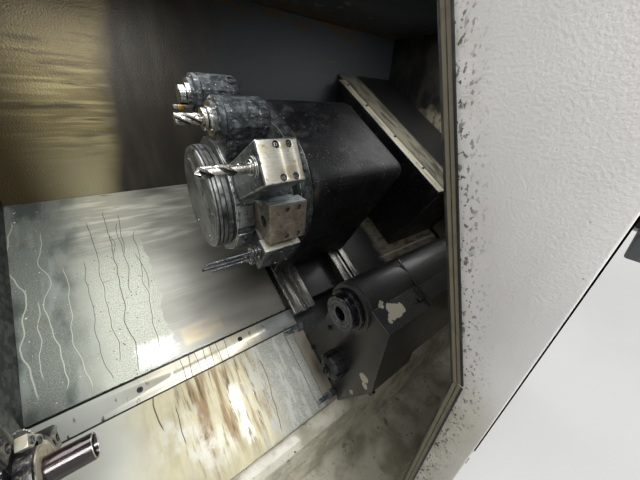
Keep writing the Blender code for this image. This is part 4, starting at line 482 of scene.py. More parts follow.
def oiled_black_steel():
    # Black-oxide steel under a film of oil: charcoal, half glossy, cloudy, with pale splashes that are partly
    # coolant and partly painted highlights, and bright specks that are painted glints on swarf.
    f = Finish("Oiled black-oxide steel")
    cloud = f.grain(0.014, 0.4, 0.72, (1, 1, 1), 6)
    # The pale splashes and the bright specks are painted highlights as well as coolant and swarf.
    splash_and_highlight = f.grain(0.004, 0.58, 0.68, (2, 1, 1), 5, 3.0)
    base = f.layers(shade("black_oxide"), ("#6b7072", cloud), ("#1a1c1e",
        f.grain(0.012, 0.52, 0.72, (1, 1, 1), 4, 8.0)), ("#a3a9a8", splash_and_highlight), ("#e3e5e3", f.specks(0.007, 0.0011, 0.4)))
    return f.surface(base, f.layers(0.3, (0.42, cloud), (0.2, splash_and_highlight)), 0.55, f.grain(0.002, 0.3, 0.7), 0.00014)


def turned_cap_steel():
    # A face-turned steel cap, oiled dark: fine rings about the turret's axis, rubbed by swarf.
    f = Finish("Face-turned dark steel", SLANT, TURRET.translation)
    pitch = sizes().ring_pitch
    rings = f.put("TexWave", {"wave_type": "RINGS", "rings_direction": "X"},
        {"Vector": f.place, "Scale": 0.314 / pitch, "Distortion": 1.2, "Detail": 2.0})[1]
    scuff = f.grain(0.016, 0.48, 0.68, (1, 7, 1), 5, 2.0)
    warm = f.grain(0.05, 0.4, 0.66, (1, 1, 1), 4, 7.0)
    base = f.layers("#45474a", ("#6a6963", warm), ("#7b7d7c", f.both(rings,
        f.grain(0.04, 0.4, 0.6, (1, 1, 1), 3, 9.0))), ("#989a98", scuff),
        ("#232425", f.grain(0.03, 0.52, 0.7, (1, 1, 1), 4, 5.0)))
    return f.surface(base, f.layers(0.32, (0.44, scuff)), 0.55, f.layers(rings,
        (1.0, f.both(scuff, f.grain(0.003, 0.3, 0.7)))), 0.0002)


def milled_block_steel():
    # Bright milled steel, wet: a fine end-mill bloom, darker oily smears and a warm tint.
    f = Finish("Milled bright steel", SLANT, TURRET.translation)
    smear = f.grain(0.018, 0.46, 0.7, (2, 1, 1), 4)
    bloom = f.grain(0.0016, 0.35, 0.65, (12, 1, 1), 2, 3.0)
    base = f.layers(shade("bright_block"), ("#aeaa9c", bloom), ("#a59c84", smear),
        ("#6e6a5f", f.grain(0.012, 0.62, 0.72, (1, 1, 1), 4, 6.0)))
    return f.surface(base, f.layers(0.3, (0.42, bloom)), 0.45, bloom, 0.00006)


def pale_block_steel():
    # A milled face painted pale blue-grey for the wet reflection that lies on it, with a dull grey bloom.
    f = Finish("Washed milled steel", SLANT, TURRET.translation)
    bloom = f.grain(0.008, 0.44, 0.62, (3, 1, 1), 4)
    base = f.layers("#dbe4e6", ("#aab4b6", bloom), ("#5d5f5c", f.grain(0.012, 0.6, 0.7, (1, 1, 1), 4, 6.0)))
    return f.surface(base, f.layers(0.3, (0.44, bloom)), 0.45, f.grain(0.0016, 0.35, 0.65, (12, 1, 1), 2), 0.00006)


def tinted_block_steel():
    # Milled steel browned by hot oil, with bright scratches.
    f = Finish("Oil-browned milled steel", SLANT, TURRET.translation)
    smear = f.grain(0.016, 0.42, 0.66, (1, 1, 1), 5)
    base = f.layers("#857c6e", ("#6a6053", smear), ("#8f8a7e", f.grain(0.012, 0.54, 0.7, (1, 1, 1), 4, 8.0)),
        ("#b9b3a4", f.grain(0.004, 0.62, 0.72, (8, 1, 1), 3, 4.0)), ("#201d18", f.specks(0.012, 0.0012, 0.4)))
    return f.surface(base, f.layers(0.32, (0.46, smear)), 0.55, f.grain(0.002, 0.3, 0.7, (6, 1, 1)), 0.0001)


def worn_and_highlit_edge_steel(name="Worn steel edge", code="#b9b8b2"):
    # A broken edge, lighter than its face: rubbed bright by swarf and hands, and painted as a highlight along the edge.
    f = Finish(name)
    base = f.layers(code, ("#4b4a46", f.grain(0.012, 0.5, 0.66, (1, 1, 1), 4)))
    return f.surface(base, 0.32, 0.85, f.grain(0.002, 0.3, 0.7), 0.0001)


def ground_guide_steel():
    # Hardened ground steel: bright, with long grind lines and a film of brown way oil.
    f = Finish("Ground guide steel", SLANT)
    lines = f.grain(0.0016, 0.35, 0.65, (1, 60, 1), 2)
    oil = f.grain(0.02, 0.45, 0.7, (1, 5, 1), 4, 2.0)
    base = f.layers("#6d6c68", ("#8f8e89", lines), ("#2b2923", oil))
    return f.surface(base, f.layers(0.26, (0.4, oil)), 0.95, lines, 0.0001)


def turned_steel(name="Turned steel", code="#8e8f8e", dark="#55565a", metallic=0.95, roughness=0.26):
    # Steel turned on a lathe: fine rings about the spindle's axis and a thin film of oil.
    f = Finish(name)
    rings = f.grain(0.0016, 0.35, 0.65, (1, 30, 30), 2)
    oil = f.grain(0.012, 0.45, 0.7, (1, 1, 1), 4, 2.0)
    base = f.layers(code, (dark, oil), ("#d0d0cc", f.grain(0.004, 0.68, 0.76, (1, 1, 1), 2, 5.0)))
    return f.surface(base, f.layers(roughness, (roughness + 0.14, oil)), metallic, rings, 0.0001)


def fluted_tool_steel():
    # Ground high-speed steel: silvery, sharp-edged, slightly smeared with oil.
    f = Finish("Ground tool steel")
    oil = f.grain(0.006, 0.5, 0.7, (1, 1, 1), 4, 2.0)
    return f.surface(f.layers("#b3b1aa", ("#77736a", oil)), f.layers(0.2, (0.34, oil)), 1.0, f.grain(0.001, 0.3, 0.7),
        0.00005)


def coated_insert():
    # Carbide with titanium nitride: a flat yellow gold, slightly mottled.
    f = Finish("Titanium-nitride insert")
    return f.surface(f.layers(shade("gold_nitride"), ("#7d6026", f.grain(0.002, 0.5, 0.7))), 0.28, 1.0,
        f.grain(0.0008, 0.3, 0.7), 0.00004)


def wet_mill_scale():
    # Rolled tube with its mill scale on, wet: red-black and mirror-like along its length.
    f = Finish("Wet mill scale")
    scale = f.grain(0.012, 0.45, 0.68, (5, 1, 1), 4)
    base = f.layers(shade("scale"), ("#2c1a1a", scale), ("#5b4440", f.grain(0.004, 0.68, 0.78, (4, 1, 1), 3, 3.0)))
    return f.surface(base, f.layers(0.12, (0.26, scale)), 0.4, f.grain(0.006, 0.3, 0.7, (4, 1, 1)), 0.0002,
        Coat_Weight=0.7, Coat_Roughness=0.06)


def oxidised_jaw_steel():
    # Soft jaw steel: its bored ring is tan with dried coolant and finely lined, and the metal outside is oil-black.
    f = Finish("Tanned soft-jaw steel")
    bored_radius = 0.0335
    rings = f.grain(0.0012, 0.4, 0.6, (1, 30, 30), 2)
    square = f.put("Math", {"operation": "MULTIPLY"}, {0: f.s, 1: f.s})[0]
    radius = f.put("Math", {"operation": "SQRT"}, {0: f.put("Math", {"operation": "MULTIPLY_ADD"},
        {0: f.n, 1: f.n, 2: square})[0]})[0]
    outside = f.within(f.swayed(radius, 0.01, 0.003), bored_radius, 1, 0.0015)
    smudge = f.both(outside, f.grain(0.004, 0.50, 0.85, (1, 1, 1), 5, 4.0))
    base = f.layers("#b5ad94", ("#93896f", f.grain(0.008, 0.42, 0.66, (1, 1, 1), 5)), ("#cfc9b4", rings),
        ("#5b5240", f.grain(0.003, 0.64, 0.72, (1, 1, 1), 3, 3.0)), ("#17181c", outside), ("#8d8674", smudge))
    return f.surface(base, f.layers(0.42, (0.32, outside)), 0.1, rings, 0.0001)


def oily_and_shaded_chuck_black():
    # Black-oxide chuck steel soaked in oil, painted nearly black partly for the shade that the jamb casts on it, with a
    # thin cloudy sheen.
    f = Finish("Oil-soaked black chuck")
    cloud = f.grain(0.01, 0.45, 0.7, (1, 1, 1), 4)
    return f.surface(f.layers("#0d0e11", ("#22252a", cloud)), f.layers(0.3, (0.5, cloud)), 0.0,
        f.grain(0.003, 0.3, 0.7), 0.0002, Specular_IOR_Level=0.2)


def painted_door_end():
    # Smooth pale powder coat on the door's folded end: clean at the outside, peppered with black grime by the seal,
    # with a slightly darker band across it that is a painted reflection.
    f = Finish("Pale door paint")
    # Distance in metres from the inner border, which runs upright and then leans outwards.
    lean = f.put("MapRange", {"clamp": False}, {0: f.n, 1: 0.129, 2: 0.65, 3: -0.24, 4: -0.056})[0]
    border = f.either(lean, f.put("Math", {"operation": "ADD"}, {0: 0.0, 1: -0.24})[0])
    inside = f.put("Math", {"operation": "SUBTRACT"}, {0: border, 1: f.s})[0]
    near = f.put("MapRange", SMOOTH, {0: inside, 1: 0.048, 2: 0.008})[0]
    end = f.within(f.x, -0.06, -0.045, 0.004)
    pepper = f.both(f.grain(0.0035, 0.56, 0.62, (1, 1, 1.4), 4, 2.0), near, end)
    coarse = f.both(f.grain(0.009, 0.6, 0.66, (1, 1, 1.5), 5, 6.0), f.put("MapRange", {},
        {0: inside, 1: 0.030, 2: 0.010})[0], end)
    stray = f.both(f.specks(0.02, 0.0009, 0.25, 3.0), end)
    # A slightly darker band across the end face at this height: a painted reflection.
    band = f.both(f.within(f.swayed(f.n, 0.2, 0.02), 0.16, 0.285, 0.04), end)
    foot = f.both(f.put("MapRange", SMOOTH, {0: inside, 1: 0.16, 2: 0.0})[0],
        f.within(f.swayed(f.n, 0.1, 0.04, 5), -1, 0.13, 0.06), end)
    base = f.layers(shade("door_white"), ("#a09c8d", foot), ("#cbc9c7", band),
        ("#c0bdbb", f.grain(0.15, 0.3, 0.8, (1, 1, 1), 3)), ("#bcb8b1",
        f.both(near, f.grain(0.02, 0.4, 0.65, (1, 1, 1), 4, 8.0), end)), ("#2a2724", f.either(pepper, coarse, stray)))
    return f.surface(base, f.layers(0.38, (0.6, f.either(pepper, coarse))), 0.0,
        f.layers(f.grain(0.0025, 0.3, 0.7, (1, 1, 1), 2), (1.0, f.either(pepper, coarse))), 0.0001)


def powder_coat(name, code_or_colour, mottled, roughness=0.42, floor_darkening=0.25):
    # Powder coat on sheet steel: an even colour over orange-peel bumps, faintly darker and browner towards the floor.
    f = Finish(name)
    low = f.put("MapRange", SMOOTH, {0: f.swayed(f.n, 0.1, 0.08), 1: -0.55, 2: -0.98, 3: 0.0, 4: floor_darkening})[0]
    tone = f.layers(code_or_colour, (mottled, f.grain(0.5, 0.35, 0.75, (1, 1, 1), 2)), ("#4c463b", low),
        ("#35322d", f.both(f.specks(0.03, 0.0012, 0.14), f.grain(0.2, 0.45, 0.6, (1, 1, 1), 2, 4.0))))
    return f.surface(tone, f.layers(roughness, (roughness + 0.15, low)), 0.0, f.grain(0.0022, 0.3, 0.7, (1, 1, 1), 2),
        0.00012)


def cast_paint(name="Painted casting", code="#4b4d4e"):
    # Machine enamel over cast iron: slightly lumpy, with oil-darkened hollows.
    f = Finish(name)
    base = f.layers(code, ("#434547", f.grain(0.09, 0.3, 0.8, (1, 1, 1), 5)),
        ("#2c2a27", f.grain(0.03, 0.66, 0.78, (1, 1, 1), 4, 3.0)))
    return f.surface(base, f.layers(0.4, (0.55, f.grain(0.05, 0.4, 0.6, (1, 1, 1), 3, 5.0))), 0.0,
        f.grain(0.007, 0.3, 0.7), 0.0006)


def plastic(name, code, worn="#000000", roughness=0.4):
    # Moulded plastic: a fine spark-eroded grain and slightly duller patches where it is handled.
    f = Finish(name)
    rub = f.grain(0.02, 0.45, 0.7, (1, 1, 1), 4)
    base = f.layers(code, (worn, f.put("Math", {"operation": "MULTIPLY"}, {0: rub, 1: 0.25})[0]))
    return f.surface(base, f.layers(roughness, (roughness + 0.15, rub)), 0.0, f.grain(0.0012, 0.3, 0.7), 0.00008)


def nitrile_rubber():
    # Black rubber wiper: dull, with a chalky bloom and grime along it.
    f = Finish("Nitrile rubber")
    bloom = f.grain(0.012, 0.5, 0.7, (1, 1, 3), 4)
    return f.surface(f.layers(shade("rubber"), ("#33322f", bloom)), f.layers(0.5, (0.7, bloom)), 0.0,
        f.grain(0.003, 0.3, 0.7), 0.0002)


def smoked_polycarbonate():
    # A smoked safety pane: dark, clear and glossy, with fine scratches.
    f = Finish("Smoked polycarbonate")
    haze = f.grain(0.05, 0.5, 0.75, (1, 1, 1), 4)
    shader = f.put("BsdfPrincipled", {}, {"Base Color": linear("#3b4245"), "Roughness": f.layers(0.06, (0.2, haze)),
        "Transmission Weight": 0.75, "IOR": 1.58, "Alpha": 1.0})[0]
    f.put("OutputMaterial", {}, {"Surface": shader})
    return f.material


def lit_diffuser():
    # Frosted lamp tube: milky, glowing softly.
    f = Finish("Frosted lamp cover")
    fog = f.grain(0.03, 0.35, 0.7, (3, 1, 1), 3)
    return f.surface(f.layers("#d9dcd6", ("#b9bcb4", fog)), f.layers(0.3, (0.5, fog)), 0.0, f.grain(0.003, 0.3, 0.7),
        0.0001, Transmission_Weight=0.25)


def display_glass():
    # A switched-off screen: near-black glass, faintly blue, with wiping smears.
    f = Finish("Dark display glass")
    smear = f.grain(0.03, 0.5, 0.75, (3, 1, 1), 4)
    return f.surface(f.layers("#0b0f14", ("#1c242c", smear)), f.layers(0.08, (0.25, smear)), 0.0,
        f.grain(0.02, 0.3, 0.7), 0.00003)


def louvred_filter():
    # Punched vent slots, black behind, with grey fluff in them.
    f = Finish("Dusty vent slots")
    return f.surface(f.layers("#0d0d0e", ("#3a3834", f.grain(0.006, 0.55, 0.68, (2, 1, 1), 4))), 0.7, 0.0,
        f.grain(0.003, 0.3, 0.7), 0.0003)


# The edge finishes (edge, bright_edge, enamel_edge, black_edge) paint edges lighter: partly wear, partly painted
# highlights.
FINISHES = {
    "upper_sheet": stained_upper_sheet, "lower_sheet": stained_and_reflecting_lower_sheet, "strip": wiped_strip_steel,
    "back_wall": varnished_back_wall, "cream": dirty_cream_enamel, "black_enamel": chipped_black_enamel,
    "guard": guard_black_paint, "flange": flange_cream_paint, "black_steel": oiled_black_steel, "cap": turned_cap_steel,
    "bright_block": milled_block_steel, "brown_block": tinted_block_steel, "edge": worn_and_highlit_edge_steel,
    "guide": ground_guide_steel, "turned": turned_steel, "tool": fluted_tool_steel, "insert": coated_insert,
    "mill_scale": wet_mill_scale, "jaw": oxidised_jaw_steel, "chuck_black": oily_and_shaded_chuck_black,
    "door": painted_door_end, "rubber": nitrile_rubber, "smoked": smoked_polycarbonate, "diffuser": lit_diffuser,
    "display": display_glass, "casting": cast_paint, "roof_lining": grimy_roof_lining, "right_wall": grimy_right_wall,
    "pale_block": pale_block_steel, "vent": louvred_filter, "right_sheet": black_and_washed_right_sheet,
    "left_wall": lambda: grimy_dark_wall("Oily black jamb", "#16171a"),
    # Near-black for the insides of grooves, bolt pockets and bores: painted shade.
    "painted_shade_groove": lambda: cast_paint("Oily groove", "#1a1a1b"),
    "pad": lambda: turned_steel("Ground pad steel", "#7d8081", "#2e3032", 0.8, 0.3),
    "chrome": lambda: turned_steel("Wet ground nut", "#b4b6b6", "#3a3c3e", 1.0, 0.14),
    "flute": lambda: turned_steel("Oily flute", "#3a3a3a", "#1c1c1c", 0.8, 0.3),
    "quill_face": lambda: turned_steel("Dull turned face", "#56585a", "#3c3e40", 0.5, 0.42),
    "bright_edge": lambda: worn_and_highlit_edge_steel("Enamel worn to bright steel", "#c9c8c0"),
    "gloss_black": lambda: plastic("Wet black enamel", "#121213", "#4a4a48", 0.16),
    "felt": lambda: plastic("Grimy felt wiper", "#6b6552", "#2b2920", 0.7),
    "dark_turned": lambda: turned_steel("Oiled dark turned steel", "#3f4144", "#202124", 0.9, 0.24),
    "enamel_edge": lambda: worn_and_highlit_edge_steel("Chipped enamel edge", "#6f6f6c"),
    "black_edge": lambda: worn_and_highlit_edge_steel("Rubbed black edge", "#9b9c9b"),
    "shell": lambda: powder_coat("Off-white powder coat", shade("shell_white"), "#c9c8c2"),
    "trim": lambda: powder_coat("Dark grey powder coat", shade("shell_grey"), "#3e4144"),
    "cabinet": lambda: powder_coat("Cabinet powder coat", "#b9b8b2", "#aaa9a3", 0.45),
    "tank": lambda: powder_coat("Tank powder coat", "#54585a", "#484b4d", 0.5, 0.5),
    "black_plastic": lambda: plastic("Black moulded ABS", "#17181a", "#3a3a3a"),
    "grey_plastic": lambda: plastic("Grey moulded ABS", "#74787b", "#55585a"),
    "red_plastic": lambda: plastic("Red moulded ABS", "#b3201c", "#5c0f0c", 0.3),
    "green_plastic": lambda: plastic("Green moulded ABS", "#2c8a45", "#123c1e", 0.3),
    "amber_plastic": lambda: plastic("Amber lens", "#d98a1e", "#6f430a", 0.25),
    "yellow_plastic": lambda: plastic("Yellow moulded ABS", "#d8b326", "#6f5a10", 0.35),
}


# ---------------------------------------------------------------- shaping

def piece(name, shape, body, finishes, smooth=32):
    """Makes a finished bmesh one object that rides on a body; finishes[i] is material i."""
    bmesh.ops.recalc_face_normals(shape, faces=shape.faces)
    mesh = bpy.data.meshes.new(name)
    shape.to_mesh(mesh)
    shape.free()
    for material in finishes:
        mesh.materials.append(finish(material))
    mesh.shade_smooth()
    mesh.set_sharp_from_angle(angle=math.radians(smooth))
    made = bpy.data.objects.new(name, mesh)
    bpy.context.scene.collection.objects.link(made)
    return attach(made, body)


def body_of(node):
    return frame["nodes"][node]["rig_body"]


def inlaid(shape, place, test, number):
    """Gives the faces whose centre passes the test, by radius and height in the place, a finish of their own."""
    back = place.inverted()
    for face in shape.faces:
        point = back @ face.calc_center_median()
        if test(math.hypot(point.x, point.y), point.z):
            face.material_index = number


def dressed(node, finishes, edge=0.0008, sharp=34, segments=2, smooth=32, towards=(), where=(), pressed=()):
    """A copy of a CAD node with broken edges: finishes[0] is its skin and finishes[1], if any, its edges, which the
    edge finishes paint lighter for wear and as a painted highlight.
    towards lists (direction, number) for flat faces that look along a direction and take a finish of their own,
    where lists (place, test, number) for inlaid, and pressed lists (direction, border, depth) for a recess in the
    largest such face."""
    source = frame["nodes"][node]
    shape = bmesh.new()
    shape.from_mesh(source.data)
    for face in shape.faces:
        face.material_index = 0
    bmesh.ops.remove_doubles(shape, verts=shape.verts, dist=1e-5)
    bmesh.ops.dissolve_limit(shape, angle_limit=math.radians(1), verts=shape.verts, edges=shape.edges)
    hard = [e for e in shape.edges if len(e.link_faces) == 2 and e.calc_face_angle(0) > math.radians(sharp)]
    if edge:
        rounded = bmesh.ops.bevel(shape, geom=hard, offset=edge, offset_type="OFFSET", affect="EDGES",
            segments=segments, profile=0.5, material=-1, clamp_overlap=True)
        for face in rounded["faces"]:
            face.material_index = min(len(finishes) - 1, 1)
    shape.normal_update()
    for direction, number in towards:
        for face in shape.faces:
            if face.normal.dot(direction) > 0.99:
                face.material_index = number
    for place, test, number in where:
        inlaid(shape, place, test, number)
    for direction, border, depth in pressed:
        flat = max((face for face in shape.faces if face.normal.dot(direction) > 0.99),
            key=lambda face: face.calc_area())
        bmesh.ops.inset_region(shape, faces=[flat], thickness=border, use_even_offset=True)
        bmesh.ops.inset_region(shape, faces=[flat], thickness=abs(depth), depth=-depth, use_even_offset=True)
    made = piece("finished_" + node, shape, body_of(node), finishes, smooth)
    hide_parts(node)
    return made


def instead(made, *nodes):
    """Hides the CAD nodes that a new piece takes the place of, and gives the piece back."""
    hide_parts(*nodes)
    return made


def verts_of(grown):
    """The vertices among what an extrusion made."""
    return [g for g in grown["geom"] if isinstance(g, bmesh.types.BMVert)]


def loops_of(shape, rings, place):
    """Joins rings, each (radius, height, sides), into one closed skin along the place's Z."""
    rows = []
    for radius, height, sides in rings:
        verts = bmesh.ops.create_circle(shape, cap_ends=False, radius=radius, segments=sides,
            matrix=place @ Matrix.Translation((0, 0, height)))["verts"]
        rows.append(list({e for v in verts for e in v.link_edges}))
    for lower, upper in zip(rows, rows[1:]):
        bmesh.ops.bridge_loops(shape, edges=lower + upper)
    bmesh.ops.contextual_create(shape, geom=rows[0])
    bmesh.ops.contextual_create(shape, geom=rows[-1])


def spun(shape, profile, place, steps=None):
    """Turns a profile of (radius, height) points about the place's Z into a closed skin."""
    steps = steps or sizes().round_steps
    before = set(shape.verts)
    verts = [shape.verts.new((radius, 0, height)) for radius, height in profile]
    edges = [shape.edges.new(pair) for pair in zip(verts, verts[1:])]
    bmesh.ops.spin(shape, geom=verts + edges, cent=(0, 0, 0), axis=(0, 0, 1), angle=2 * math.pi, steps=steps,
        use_merge=True)
    bmesh.ops.remove_doubles(shape, verts=[v for v in shape.verts if v not in before], dist=1e-6)
    bmesh.ops.transform(shape, matrix=place, verts=[v for v in shape.verts if v not in before])


def slab(shape, low, high, place, edge=0.0):
    """A rounded-edge block between two corners, in the place's own directions."""
    centre = (Vector(low) + Vector(high)) / 2
    size = Vector(high) - Vector(low)
    matrix = place @ Matrix.Translation(centre) @ Matrix.Diagonal((*size, 1))
    verts = bmesh.ops.create_cube(shape, size=1, matrix=matrix)["verts"]
    if edge:
        edges = list({e for v in verts for e in v.link_edges})
        bmesh.ops.bevel(shape, geom=edges, offset=edge, offset_type="OFFSET", affect="EDGES", segments=2, profile=0.5,
            material=-1, clamp_overlap=True)


def frame_of(shape, corners, width, rise, direction):
    """A flat frame of that width inside four corners, standing proud along the direction."""
    outer = shape.faces.new([shape.verts.new(corner) for corner in corners])
    ring = bmesh.ops.inset_region(shape, faces=[outer], thickness=width, use_boundary=True,
        use_even_offset=True)["faces"]
    shape.faces.remove(outer)
    grown = bmesh.ops.extrude_face_region(shape, geom=ring)
    bmesh.ops.translate(shape, vec=Vector(direction) * rise, verts=verts_of(grown))


def cap_screw(shape, place, radius=0.004, rise=0.003):
    """A socket screw's head standing on the place's XY plane, with a hexagon recess."""
    edge = radius * 0.12
    loops_of(shape, [(radius, -0.0002, 20), (radius, rise - edge, 20), (radius - edge, rise, 20),
        (radius * 0.56, rise, 6), (radius * 0.56, rise * 0.4, 6)], place)


def screws(name, body, places, radius=0.004, rise=0.003, material="black_steel"):
    """One piece of many screw heads; each place is a matrix whose Z points out of the surface."""
    shape = bmesh.new()
    for place in places:
        cap_screw(shape, place, radius, rise)
    return piece(name, shape, body, [material], 25)


def shifted(frame, place):
    """The frame with its origin moved to a place in it."""
    return frame @ Matrix.Translation(place)


def rolled(frame, degrees):
    """The frame turned about its own X."""
    return frame @ Matrix.Rotation(math.radians(degrees), 4, "X")


def round_places(frame, count, start, points, direction):
    """Points of a frame, repeated count times round its X from a start in degrees, facing the direction there."""
    return [facing((rolled(frame, start + 360 / count * i), point), direction)
        for i in range(count) for point in points]


def facing(place, direction):
    """The place, a point in a frame given as (matrix, point), turned so that its Z points along the direction there."""
    matrix, point = place
    return matrix @ Matrix.Translation(point) @ Vector(direction).to_track_quat("Z", "Y").to_matrix().to_4x4()


def twisted(shape, place, outline, start, end, turns, tip=0.0, steps=24):
    """Extrudes a closed outline of (radius, angle) points along the place's Z while turning it: a fluted tool."""
    verts = [shape.verts.new((r * math.cos(a), r * math.sin(a), start)) for r, a in outline]
    face = shape.faces.new(verts)
    layer = [face]
    everything = list(verts)
    step = (end - start) / steps
    for _ in range(steps):
        grown = bmesh.ops.extrude_face_region(shape, geom=layer)
        fresh = verts_of(grown)
        layer = [g for g in grown["geom"] if isinstance(g, bmesh.types.BMFace)]
        bmesh.ops.translate(shape, vec=(0, 0, step), verts=fresh)
        bmesh.ops.rotate(shape, cent=(0, 0, 0), matrix=Matrix.Rotation(turns * 2 * math.pi / steps, 3, "Z"),
            verts=fresh)
        everything += fresh
    if tip:
        grown = bmesh.ops.extrude_face_region(shape, geom=layer)
        fresh = verts_of(grown)
        bmesh.ops.scale(shape, vec=(0.12, 0.12, 1), verts=fresh)
        bmesh.ops.translate(shape, vec=(0, 0, tip), verts=fresh)
        everything += fresh
    bmesh.ops.transform(shape, matrix=place, verts=everything)


def at_station(name, x=0.0, r=0.0, t=0.0):
    """The place x, r out and t round at a turret station: its Y points out and its Z round the drum."""
    return shifted(rolled(TURRET, STATIONS[name]), (x, r, t))


# ---------------------------------------------------------------- pieces

def build_way_covers():
    size = sizes()
    dressed("carriage_cover_left", ["upper_sheet", "edge"], size.sheet_edge)
    dressed("carriage_cover_right", ["right_sheet", "edge"], size.sheet_edge)
    dressed("tailstock_cover", ["lower_sheet", "edge"], size.sheet_edge)
    dressed("cover_strip", ["strip", "edge"], size.edge)
    dressed("chip_pan", ["cream", "cream"], 0.0015)
    places = [shifted(SLOPE, (x, s, -0.2995)) for x, s in ((-0.38, 0.0905), (-0.14, 0.097), (-0.56, 0.0905),
        (0.46, 0.0905), (0.72, 0.0905))]
    shape = bmesh.new()
    for place in places:
        loops_of(shape, [(0.0064, 0.0, 24), (0.0064, 0.0010, 24), (0.0058, 0.0014, 24), (0.0036, 0.0014, 6),
            (0.0036, 0.0002, 6)], place)
    piece("strip_screws", shape, "machine", ["dark_turned"], 25)
    shape = bmesh.new()
    for s in (0.050, -0.150):
        slab(shape, (-0.022, s - 0.006, -0.291), (0.012, s + 0.006, -0.2885), SLOPE, 0.0008)
        slab(shape, (0.004, s - 0.010, -0.2915), (0.0415, s + 0.010, -0.289), SLOPE, 0.0008)
        cap_screw(shape, shifted(SLOPE, (-0.004, s, -0.2885)), 0.0034, 0.0025)
        cap_screw(shape, shifted(SLOPE, (0.024, s, -0.289)), 0.0034, 0.0025)
    slab(shape, (-0.0006, -0.167, -0.2920), (0.0006, 0.0605, -0.2903), SLOPE)
    piece("cover_end_clips", shape, body_of("tailstock_cover"), ["black_steel"])
    shape = bmesh.new()
    for i in range(9):
        x = -0.235 + i * 0.024
        slab(shape, (x, -0.1685, -0.3125), (x + 0.013, -0.1655, -0.3085), SLOPE, 0.0008)
    piece("cover_lip_slots", shape, body_of("tailstock_cover"), ["rubber"])


def build_chamber():
    dressed("back_wall", ["back_wall", "back_wall", "shell"], 0.002, towards=[((0, 1, 0), 2)])
    dressed("chamber_wall_left", ["left_wall", "left_wall"], 0.001)
    dressed("chamber_wall_right", ["right_wall", "right_wall"], 0.001)
    dressed("roof_panel", ["shell", "shell", "roof_lining"], 0.003, towards=[((0, 0, -1), 2)])
    dressed("side_guard", ["guard", "black_edge", "flange"], 0.0012, towards=[(SLOPE.to_3x3() @ Vector((0, 0, 1)), 2)])
    screws("guard_screws", "machine", [shifted(SLOPE, (x, s, 0.049)) for x, s in ((0.574, 0.30), (0.574, 0.47),
        (0.572, 0.66), (0.572, 0.80))], 0.0048, 0.003, "dark_turned")
    dressed("work_light", ["diffuser"], 0.002)


def build_slides():
    for node in ("x_guide_left", "x_guide_right"):
        dressed(node, ["guide", "edge"], 0.001)
    dressed("saddle", ["black_enamel", "enamel_edge"], 0.003)
    dressed("turret_housing", ["guard", "black_edge"], 0.003)
    for node in ("way_rail_lower", "way_rail_upper"):
        dressed(node, ["guide", "edge"], 0.001)
    dressed("z_ball_screw", ["turned"], 0.0008)


def build_turret():
    turning = TURRET @ ALONG_X
    dressed("turret_drum", ["black_steel", "edge", "pad"], 0.0012, where=[(turning,
        lambda r, x: 0.1262 < r < 0.130 and x < -0.093, 2)])
    shape = bmesh.new()
    spun(shape, [(0.0, -0.1303), (0.110, -0.1303), (0.1135, -0.1320), (0.1135, -0.1405), (0.1110, -0.1412),
        (0.1110, -0.1428), (0.115, -0.1436), (0.115, -0.1505), (0.1118, -0.1512), (0.1118, -0.1526), (0.1145, -0.1534),
        (0.1145, -0.1580), (0.1105, -0.1588), (0.1105, -0.1600), (0.1120, -0.1606), (0.1110, -0.1630),
        (0.1070, -0.1647), (0.1010, -0.1650), (0.0985, -0.1638), (0.0965, -0.1638), (0.0940, -0.1650), (0.0, -0.1650)],
        turning)
    # The grooves between the cap's rings take the near-black groove finish: painted shade.
    inlaid(shape, turning, lambda r, x: 0.1095 < r < 0.1124 and x > -0.1602, 1)
    instead(piece("turned_turret_cap", shape, "turret", ["cap", "painted_shade_groove"], 30), "turret_cap")
    places = round_places(TURRET, 6, 34, [(-0.1648, 0.086, 0)], (-1, 0, 0))
    screws("cap_screws", "turret", places, 0.0042, 0.0022, "turned")
    places = round_places(TURRET, 12, 2.5, [(-0.110, 0.128, t) for t in (-0.011, 0.011)], (0, 1, 0))
    screws("pad_screws", "turret", places, 0.0030, 0.0014, "turned")
    places = round_places(TURRET, 24, 10, [(0.0, 0.156, 0)], (-1, 0, 0))
    screws("disc_screws", "turret", places, 0.0034, 0.0022, "black_steel")


